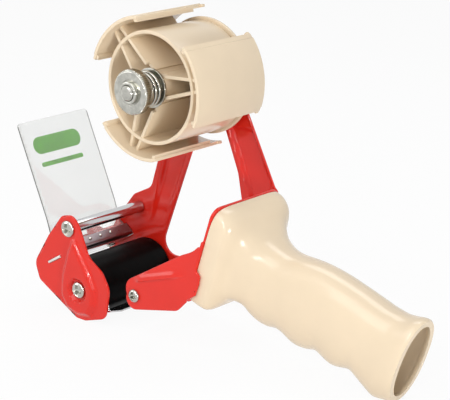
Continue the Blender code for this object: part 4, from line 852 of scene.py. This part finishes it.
def build_flap(size):
    hinge, path = flap_path(size)
    long = sum(math.dist(a, b) for a, b in zip(path, path[1:])) / MM
    half = 27.0
    sheet = slab(rounded([(-half, 0, 0.4), (half, 0, 0.4), (half, long, 2.5), (-half, long, 2.5)]), (),
                 size.flap_sheet, 0.12 * MM, spacing=3 * MM, steps=2)
    flap = piece("bending_flap", [along_path(sheet, path)], "clear_sheet", None, ["clear_flap"])
    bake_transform(flap)
    bars = [[(-20.0, 47.0, 4.9), (16.0, 47.0, 4.9), (16.0, 57.0, 4.9), (-20.0, 57.0, 4.9)],
            [(-18.0, 39.6, 1.2), (14.0, 39.6, 1.2), (14.0, 42.2, 1.2), (-18.0, 42.2, 1.2)]]
    films = []
    for bar in bars:
        film = slab(rounded(bar), (), 0.04 * MM, 0.01 * MM, spacing=3 * MM, steps=1)
        film = (film[0] + np.array((0, 0, size.flap_sheet / 2 + 0.03 * MM)), film[1])
        films.append(along_path(film, path))
    print_bars = piece("printed_bars", films, "green_print", None, [])
    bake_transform(print_bars)
    at = -(size.bracket_sheet / 2 + GAP + size.flap_sheet / 2)
    rooted = ribbon([leg(CLAMP_SLOPE, 2.2 * MM, at), leg(CLAMP_SLOPE, 12.0 * MM, at)], size.flap_sheet)
    edge = slab(rooted, (), 2 * half * MM, 0.1 * MM, steps=2)
    piece("clamped_flap_edge", [moved(edge, side_plane(0))], "clear_sheet", "frame", ["flap_clamped_edge"])
    strip_sheet = 1.2 * MM
    strip_at = at - size.flap_sheet / 2 - GAP - strip_sheet / 2
    low, floor, top = 2.5, 9.2, 12.9
    outline = [(-half, low, 0.3), (half, low, 0.3), (half, top, 0.5), (25.6, top, 0.5), (20.0, floor, 0.5),
               (11.6, floor, 0.5), (9.8, top, 0.5), (1.2, top, 0.5), (-0.4, floor, 0.5), (-9.0, floor, 0.5),
               (-11.0, top, 0.5), (-half, top, 0.5)]
    strip = slab(rounded(outline), (), strip_sheet, 0.25 * MM)
    piece("notched_strip", [moved(strip, leg_plane(CLAMP_SLOPE, strip_at))], "red_paint", "frame",
          ["flap_clamp_strip"])
    back = size.bracket_sheet / 2 / MM + 0.3
    front = strip_at / MM - 0.6 - 0.3
    profile = [(0, back + 0.5, 0), (0.7, back + 0.4, 0.2), (1.1, back, 0.1), (0.77, back, 0.1),
               (0.77, front, 0.1), (1.4, front, 0.2), (1.2, front - 0.5, 0.2), (0, front - 0.6, 0)]
    rivet = turned(rounded(profile, 30), 28)
    for k in range(4):
        y = (k - 1.5) * 8.2
        place = leg_plane(CLAMP_SLOPE, 0) @ Matrix.Translation((y * MM, 4.3 * MM, 0))
        piece(f"flap_rivet_{k + 1}_body", [moved(rivet, place)], "zinc", "frame", [f"flap_rivet_{k + 1}"])


def build_stripper(size):
    slope = math.radians(17.7)
    start = Vector((-29.6, 7.6)) * MM
    along = Vector((math.cos(slope), math.sin(slope)))
    up = Vector((-along.y, along.x))
    reach = size.half_inside - GAP
    leaf = slab(ribbon([tuple(start), tuple(start + along * 15.4 * MM)], 0.8 * MM), (), 2 * reach, 0.2 * MM)
    ear_points = [start / MM + along * a + up * b for a, b in ((0, -0.1), (6, -0.1), (6, 5), (1.5, 5))]
    ear = slab(rounded([(*point, 0.6) for point in ear_points]), (), 0.8 * MM, 0.15 * MM)
    at = reach - 0.45 * MM
    shapes = [moved(leaf, side_plane(0))] + [moved(ear, side_plane(y)) for y in (at, -at)]
    piece("stripper_leaf", shapes, "bright_steel", "frame", ["stripper_plate"])


# Hub


def tab_shapes(size, centre):
    """One outer tab with a lower band along each edge, its two inward lips, the nub at each of its far
    corners and its pair of ribs."""
    half_span = math.radians(33.0)
    outer, inner = size.tab_radius, size.tab_radius - size.hub_wall
    low, high = centre - half_span, centre + half_span
    near, far = -26.2 * MM, 26.2 * MM
    band, step = 2.6 * MM / outer, 0.4 * MM
    top = arc(outer - step, low, low + band, 4) + arc(outer, low + band * 1.12, high - band * 1.12, 40)
    top += arc(outer - step, high - band, high, 4)
    shell = slab(top + arc(inner, high, low, 40), (), far - near, 0.4 * MM)
    shapes = [moved(shell, side_plane(0))]
    lip_depth, lip = 1.6 * MM, 2.4 * MM / outer
    lip_far = far - 8.0 * MM
    for edge, sign in ((low, 1), (high, -1)):
        root = 0.3 * MM
        profile = [polar(inner + lift, edge + sign * share * lip)
                   for lift, share in ((root, 0.3), (-lip_depth, 0.25), (-lip_depth, 1.0), (root, 1.4))]
        block = slab(profile, (), lip_far - near - 0.6 * MM, 0.25 * MM)
        shapes.append(moved(block, side_plane((near + 0.6 * MM + lip_far) / 2)))
        tips = [edge - sign * 1.1 * MM / outer, edge + sign * 0.6 * MM / outer]
        over, under = outer - 0.4 * MM, inner + 0.1 * MM
        nub = [polar(over, tips[0]), polar(over, tips[1]), polar(under, tips[1]), polar(under, tips[0])]
        shapes.append(moved(slab(nub, (), 2.4 * MM, 0.2 * MM, steps=2), side_plane(far - 1.8 * MM)))
    along = Vector(polar(1.0, centre))
    across = Vector((-along.y, along.x))
    reach = outer - size.hub_wall / 2
    foot, tip, rib_sheet = 6.9 * MM, 2.2 * MM, 1.8 * MM
    slope = (foot - tip) / reach
    near_rib, far_rib, seat = -20.7 * MM, 19.3 * MM, -18.3 * MM
    for side in (-1, 1):
        ends = [tuple(along * radius + across * side * (foot - slope * radius))
                for radius in (6.5 * MM, 11.2 * MM, reach)]
        for first, second, front in ((*ends[:2], seat), (*ends[1:], near_rib)):
            rib = slab(ribbon([first, second], rib_sheet), (), far_rib - front, 0.25 * MM, steps=2)
            shapes.append(moved(rib, side_plane((front + far_rib) / 2)))
    return shapes


def build_hub(size):
    drum_outer, wall = size.drum_radius / MM, size.hub_wall / MM
    drum = ring(drum_outer, drum_outer - wall, -HUB_HALF, HUB_HALF - 0.5, 0.45, 120)
    shapes = [moved(drum, axle_line((0, 0)))]
    end = 19.4
    boss_bore = size.spindle_radius / MM + 2.2
    windows = []
    turn = 2 * math.pi / 3
    first = math.radians(10.5)
    for k in range(3):
        middle, half_window = first + (k + 0.5) * turn, math.radians(46)
        low, high = middle - half_window, middle + half_window
        windows.append(arc(26.0 * MM, low, high, 24) + arc(12.5 * MM, high, low, 16))
    holes = [circle(0, 0, (boss_bore + 1) * MM, 48)] + windows
    back = slab(circle(0, 0, (drum_outer - wall / 2) * MM, 120), holes, 2.0 * MM, 0.3 * MM)
    shapes.append(moved(back, side_plane((end - 1.0) * MM)))
    shapes.append(moved(ring(9.0, boss_bore, -18.3, end, 0.3), axle_line((0, 0))))
    for k in range(3):
        shapes += tab_shapes(size, first + k * turn)
    piece("hub_moulding", [moved(shape, TO_HUB) for shape in shapes], "beige_plastic", "tape_hub", ["hub"])
    flange = ring(31.7, 24.0, 21.5, 23.5, 0.5, 120)
    piece("end_ring", [moved(flange, axle_line((0, HUB_Z)))], "beige_plastic", "tape_hub", ["hub_end_flange"])
    bush = ring(5.9, SPINDLE_BORE, -18.3, end, 0.2, 48)
    piece("bearing_sleeve", [moved(bush, axle_line((0, HUB_Z)))], "white_nylon", "tape_hub", ["hub_bush"])


# Spindle stack


def threaded(radius, depth, pitch, low, high, chamfer, columns=48, rows_per_pitch=10):
    """A rod with a raised helical thread between two heights, chamfered at both."""
    count = max(2, round((high - low) / pitch * rows_per_pitch))
    rings = []
    for row in range(count + 1):
        height = low + (high - low) * row / count
        room = min(height - low, high - height)
        limit = radius - max(0.0, chamfer - room)
        loop = []
        for k in range(columns):
            turn = 2 * math.pi * k / columns
            phase = (height / pitch - turn / (2 * math.pi)) % 1.0
            crest = radius - depth * (0.5 + 0.5 * math.cos(2 * math.pi * phase))
            loop.append((*polar(min(crest, limit), turn), height))
        rings.append(loop)
    return loft(rings)


def build_spindle(size):
    line = axle_line((0, HUB_Z))
    radius = size.spindle_radius
    end = 39.2
    plain = turned(rounded([(0, -20, 0), (3.6, -20, 0.2), (3.95, 29.0, 0.1), (0, 29.0, 0)], 30), 48)
    near, far = (threaded(radius, THREAD_DEPTH, THREAD_PITCH, low * MM, high * MM, 0.8 * MM)
                 for low, high in ((-end, -19.5), (28.5, end)))
    piece("threaded_spindle", [moved(shape, line) for shape in (plain, near, far)], "zinc", "frame",
          ["spindle"])
    washers = [("rear_fibre", 9.5, 19.7, 20.7, "brown_fibre", "rear_friction_washer"),
               ("spacer_tube", 7.0, 21.0, 27.7, "zinc", "spacer_sleeve"),
               ("plate_washer", 9.0, 29.8, 30.8, "zinc", "frame_washer"),
               ("front_fibre", 9.5, -19.6, -18.6, "brown_fibre", "front_friction_washer"),
               ("spring_seat", 10.5, -20.9, -19.9, "zinc", "spring_seat_washer")]
    for name, outer, low, high, slot, covers in washers:
        shape = ring(outer, SPINDLE_BORE, low, high, 0.25)
        piece(name, [moved(shape, line)], slot, "frame", [covers])
    hexagon = [polar(7.5 * MM, math.radians(30 + 60 * k)) for k in range(6)]
    nut_seat, nut_height = 31.1 * MM, 6.2 * MM
    nut = slab(dense(hexagon, 2 * MM), [circle(0, 0, SPINDLE_BORE * MM, 40)], nut_height, 0.5 * MM)
    piece("hex_nut", [moved(nut, TO_HUB @ side_plane(nut_seat + nut_height / 2))], "zinc", "frame",
          ["frame_nut"])


def spring_route(size):
    """Two and a half open turns that flatten out towards both faces."""
    wire = size.spring_wire
    low = GAP - (HUB_HALF + SPRING_ROOM) * MM + wire / 2
    high = -HUB_HALF * MM - GAP - wire / 2
    turns, per_turn = 2.5, 40
    count = int(turns * per_turn)
    route = []
    for k in range(count + 1):
        share = k / count
        route.append((*polar(size.spring_radius, 2 * math.pi * turns * share),
                      low + (high - low) * float(smooth(share) + share) / 2))
    return route


def build_brake(size):
    line = axle_line((0, HUB_Z))
    wire = tube(spring_route(size), size.spring_wire / 2)
    spring = piece("coil_spring", [moved(wire, line)], "zinc", None, ["tension_spring"])
    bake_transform(spring)
    washer = ring(10.5, SPINDLE_BORE, -30.4, -29.4, 0.25)
    piece("pressing_washer", [moved(washer, line)], "zinc", "pressure_plate", ["pressure_washer"])
    face = 31.0
    rim = size.nut_rim / MM
    knurls = 64
    outline = []
    for k in range(knurls):
        turn = 2 * math.pi / knurls
        for share, drop in ((0.0, 0.6), (0.4, 0.0), (0.6, 0.0)):
            outline.append(polar(size.nut_radius - drop * MM, turn * (k + share)))
    body = slab(outline, [circle(0, 0, SPINDLE_BORE * MM, 48)], size.nut_rim - 0.8 * MM, 0.3 * MM)
    groove, tip = face + rim - 0.7, face + rim + 2.0
    shoulder = turned(rounded([(SPINDLE_BORE, face, 0.1), (11.0, face, 0.5), (11.0, face + rim, 0.5),
                               (6.6, face + rim, 0.3), (6.4, groove, 0.3), (5.9, groove, 0.2),
                               (5.8, tip, 0.5), (SPINDLE_BORE, tip, 0.3)], 30), 96)
    shapes = [moved(body, TO_HUB @ side_plane(-(face + rim / 2) * MM)), moved(shoulder, line @ TURN_OVER)]
    piece("knurled_nut", shapes, "zinc", "brake_nut", ["tension_nut"])


# Handle


def between(stations, t):
    """Smooth value of every section measure at a distance behind the web."""
    count = len(stations)
    index = max(k for k in range(count - 1) if stations[k][0] <= t or k == 0)
    here, ahead = stations[index], stations[index + 1]
    span = ahead[0] - here[0]
    u = (t - here[0]) / span

    def slope(k, column):
        low, high = max(k - 1, 0), min(k + 1, count - 1)
        return (stations[high][column] - stations[low][column]) / (stations[high][0] - stations[low][0])

    values = []
    for column in range(1, len(here)):
        m0, m1 = slope(index, column) * span, slope(index + 1, column) * span
        values.append((2 * u**3 - 3 * u**2 + 1) * here[column] + (u**3 - 2 * u**2 + u) * m0
                      + (3 * u**2 - 2 * u**3) * ahead[column] + (u**3 - u**2) * m1)
    return values


def handle_ring(t, wall, sides):
    """One section of the handle, square to the web's normal, inset by wall; all in millimetres."""
    width, top, bottom, upper, lower = between(HANDLE_STATIONS, min(t + wall * 0.6, HANDLE_STATIONS[-1][0]))
    middle = (top + bottom) / 2
    half_width = width - wall
    half_height = (top - bottom) / 2 - wall
    plane = web_plane(t * MM)
    points = []
    for k in range(sides):
        angle = 2 * math.pi * (k + 0.5) / sides
        c, s = math.cos(angle), math.sin(angle)
        power = upper if s > 0 else lower
        y = half_width * math.copysign(abs(c) ** (2 / power), c)
        v = half_height * math.copysign(abs(s) ** (2 / power), s)
        point = plane @ Vector((y * MM, (middle + v) * MM, 0))
        point.z = max(point.z, 0.0)
        points.append(point)
    return points


def build_handle(size):
    sides = 96
    wall = size.handle_wall / MM
    first, last = HANDLE_STATIONS[0][0], HANDLE_STATIONS[-1][0]
    marks = np.linspace(first, last, 110)
    lip = [(last - 0.1, 0.5), (last, 1.2), (last, wall - 1.0), (last - 0.15, wall - 0.3)]
    rings = [handle_ring(t, 0.0, sides) for t in marks]
    rings += [handle_ring(t, inset, sides) for t, inset in lip]
    rings += [handle_ring(t, wall, sides) for t in marks[::-1]]
    piece("grip_moulding", [loft(rings, closed=True)], "beige_plastic", "frame", ["handle"], crease=50.0)


# Stage


def aim(item, target):
    item.rotation_euler = (Vector(target) - item.location).to_track_quat("-Z", "Y").to_euler()


def area_light(name, place, target, size, power):
    data = bpy.data.lights.new(name, "AREA")
    data.shape = "RECTANGLE"
    data.size, data.size_y = size
    data.energy = power
    item = bpy.data.objects.new(name, data)
    item.location = place
    aim(item, target)
    bpy.context.scene.collection.objects.link(item)


def seen_white(tree, surface, share):
    """Mix a surface with plain white for camera, mirror and glass rays."""
    path = node(tree, "ShaderNodeLightPath")
    glow = node(tree, "ShaderNodeEmission", Color=(1, 1, 1, 1))
    seen = path.outputs["Is Camera Ray"]
    for ray in ("Is Glossy Ray", "Is Transmission Ray"):
        either = node(tree, "ShaderNodeMath", operation="MAXIMUM")
        tree.links.new(seen, either.inputs[0])
        tree.links.new(path.outputs[ray], either.inputs[1])
        seen = either.outputs[0]
    scaled = node(tree, "ShaderNodeMath", operation="MULTIPLY")
    scaled.inputs[1].default_value = share
    mix = node(tree, "ShaderNodeMixShader")
    tree.links.new(seen, scaled.inputs[0])
    tree.links.new(scaled.outputs[0], mix.inputs["Fac"])
    tree.links.new(surface, mix.inputs[1])
    tree.links.new(glow.outputs[0], mix.inputs[2])
    return mix.outputs[0]


def build_stage(colours):
    build_floor(colours)
    build_world()
    middle = (0.0, 0.0, 0.08)
    grip_end = (0.13, 0.0, 0.03)
    for name, place, target, size, power in (
            ("key", (0.05, -0.75, 0.85), middle, (0.7, 0.7), 3.6),
            ("front_high", (0.40, -0.86, 0.60), middle, (0.09, 0.09), 1.3),
            ("front_low", (0.44, -0.92, 0.38), middle, (0.09, 0.09), 1.3),
            ("end", (0.95, -0.35, 0.06), grip_end, (0.3, 0.2), 4.4),
            ("left", (-0.70, -0.55, 0.45), middle, (0.4, 0.6), 2.0),
            ("top", (-0.1, 0.35, 0.95), middle, (0.7, 0.4), 3.0)):
        area_light(name, place, target, size, power)


def build_floor(colours):
    made = bpy.data.materials.new("pale_floor")
    made.use_nodes = True
    tree = made.node_tree
    shader = tree.nodes["Principled BSDF"]
    shader.inputs["Base Color"].default_value = (*colours.floor, 1)
    shader.inputs["Roughness"].default_value = 0.9
    out = seen_white(tree, shader.outputs[0], 0.93)
    tree.links.new(out, tree.nodes["Material Output"].inputs["Surface"])
    half = 3.0
    mesh = bpy.data.meshes.new("floor")
    mesh.from_pydata([(a * half, b * half, 0) for a, b in ((-1, -1), (1, -1), (1, 1), (-1, 1))], [],
                     [(0, 1, 2, 3)])
    mesh.materials.append(made)
    floor = bpy.data.objects.new("floor", mesh)
    floor.location.z = -0.2 * MM
    bpy.context.scene.collection.objects.link(floor)


def build_world():
    world = bpy.data.worlds.new("studio")
    world.use_nodes = True
    bpy.context.scene.world = world
    tree = world.node_tree
    background = tree.nodes["Background"]
    background.inputs["Color"].default_value = (0.96, 0.97, 1.0, 1)
    background.inputs["Strength"].default_value = 0.30
    out = seen_white(tree, background.outputs[0], 1.0)
    tree.links.new(out, tree.nodes["World Output"].inputs["Surface"])


def build_camera():
    """The camera of the product view: from the grip's side, a little above, leaning by a degree."""
    turn, rise, roll = math.radians(40.31), math.radians(17.09), math.radians(0.97)
    back = Vector((math.sin(turn) * math.cos(rise), -math.cos(turn) * math.cos(rise), math.sin(rise)))
    right = Vector((math.cos(turn), math.sin(turn), 0))
    up = back.cross(right)
    leaned_right = right * math.cos(roll) + up * math.sin(roll)
    leaned_up = up * math.cos(roll) - right * math.sin(roll)
    data = bpy.data.cameras.new("product_view")
    data.sensor_width = 36.0
    data.sensor_fit = "HORIZONTAL"
    data.lens = 122.2
    item = bpy.data.objects.new("product_view", data)
    place = Vector((528.7 * MM + HUB_X, -582.8 * MM, 314.6 * MM))
    item.matrix_world = axes(leaned_right, leaned_up, back, place)
    bpy.context.scene.collection.objects.link(item)
    bpy.context.scene.camera = item
    bpy.context.scene.view_settings.view_transform = "Standard"


# Add-on


class DISPENSER_OT_finishes(bpy.types.Operator):
    """Make the procedural finishes"""
    bl_idname = "dispenser.finishes"
    bl_label = "Finishes"

    def execute(self, context):
        build_finishes(context.scene.dispenser_colours)
        return {"FINISHED"}


class DISPENSER_OT_frame(bpy.types.Operator):
    """Build the pressed frame and the near cheek"""
    bl_idname = "dispenser.frame"
    bl_label = "Frame"

    def execute(self, context):
        build_frame(context.scene.dispenser_sizes)
        return {"FINISHED"}


class DISPENSER_OT_pins(bpy.types.Operator):
    """Build the rod, the axle, the tie bar and the screws"""
    bl_idname = "dispenser.pins"
    bl_label = "Rods and screws"

    def execute(self, context):
        build_pins(context.scene.dispenser_sizes)
        return {"FINISHED"}


class DISPENSER_OT_roller(bpy.types.Operator):
    """Build the roller with its tube and bushes"""
    bl_idname = "dispenser.roller"
    bl_label = "Roller"

    def execute(self, context):
        build_roller(context.scene.dispenser_sizes)
        return {"FINISHED"}


class DISPENSER_OT_bracket(bpy.types.Operator):
    """Build the folded bracket, the blade and its screws"""
    bl_idname = "dispenser.bracket"
    bl_label = "Blade bracket"

    def execute(self, context):
        build_bracket(context.scene.dispenser_sizes)
        return {"FINISHED"}


class DISPENSER_OT_flap(bpy.types.Operator):
    """Build the clear flap, its clamp strip and rivets"""
    bl_idname = "dispenser.flap"
    bl_label = "Clear flap"

    def execute(self, context):
        build_flap(context.scene.dispenser_sizes)
        return {"FINISHED"}


class DISPENSER_OT_stripper(bpy.types.Operator):
    """Build the thin plate under the roller"""
    bl_idname = "dispenser.stripper"
    bl_label = "Stripper plate"

    def execute(self, context):
        build_stripper(context.scene.dispenser_sizes)
        return {"FINISHED"}


class DISPENSER_OT_hub(bpy.types.Operator):
    """Build the tape hub with its end ring and bearing"""
    bl_idname = "dispenser.hub"
    bl_label = "Tape hub"

    def execute(self, context):
        build_hub(context.scene.dispenser_sizes)
        return {"FINISHED"}


class DISPENSER_OT_spindle(bpy.types.Operator):
    """Build the threaded spindle with its washers and hexagon nut"""
    bl_idname = "dispenser.spindle"
    bl_label = "Spindle"

    def execute(self, context):
        build_spindle(context.scene.dispenser_sizes)
        return {"FINISHED"}


class DISPENSER_OT_brake(bpy.types.Operator):
    """Build the spring, its washer and the knurled nut"""
    bl_idname = "dispenser.brake"
    bl_label = "Hub brake"

    def execute(self, context):
        build_brake(context.scene.dispenser_sizes)
        return {"FINISHED"}


class DISPENSER_OT_handle(bpy.types.Operator):
    """Build the hollow grip"""
    bl_idname = "dispenser.handle"
    bl_label = "Handle"

    def execute(self, context):
        build_handle(context.scene.dispenser_sizes)
        return {"FINISHED"}


class DISPENSER_OT_stage(bpy.types.Operator):
    """Set up the floor, the light and the camera"""
    bl_idname = "dispenser.stage"
    bl_label = "Stage"

    def execute(self, context):
        build_stage(context.scene.dispenser_colours)
        build_camera()
        return {"FINISHED"}


STEPS = ("finishes", "frame", "pins", "roller", "bracket", "flap", "stripper", "hub", "spindle", "brake",
         "handle", "stage")


class DISPENSER_PT_panel(bpy.types.Panel):
    """Lists the dispenser's pieces and sizes"""
    bl_idname = "DISPENSER_PT_panel"
    bl_label = "Tape dispenser"
    bl_space_type = "VIEW_3D"
    bl_region_type = "UI"
    bl_category = "Dispenser"

    def draw(self, context):
        for step in STEPS:
            self.layout.operator("dispenser." + step)
        for group in (context.scene.dispenser_sizes, context.scene.dispenser_colours):
            for name in group.__annotations__:
                self.layout.prop(group, name)


CLASSES = (DispenserSizes, DispenserColours, DISPENSER_OT_finishes, DISPENSER_OT_frame, DISPENSER_OT_pins,
           DISPENSER_OT_roller, DISPENSER_OT_bracket, DISPENSER_OT_flap, DISPENSER_OT_stripper,
           DISPENSER_OT_hub, DISPENSER_OT_spindle, DISPENSER_OT_brake, DISPENSER_OT_handle,
           DISPENSER_OT_stage, DISPENSER_PT_panel)


def register():
    for made in CLASSES:
        bpy.utils.register_class(made)
    bpy.types.Scene.dispenser_sizes = bpy.props.PointerProperty(type=DispenserSizes)
    bpy.types.Scene.dispenser_colours = bpy.props.PointerProperty(type=DispenserColours)


def unregister():
    del bpy.types.Scene.dispenser_colours
    del bpy.types.Scene.dispenser_sizes
    for made in reversed(CLASSES):
        bpy.utils.unregister_class(made)


def main():
    register()
    for step in STEPS:
        getattr(bpy.ops.dispenser, step)()


if __name__ == "__main__":
    main()
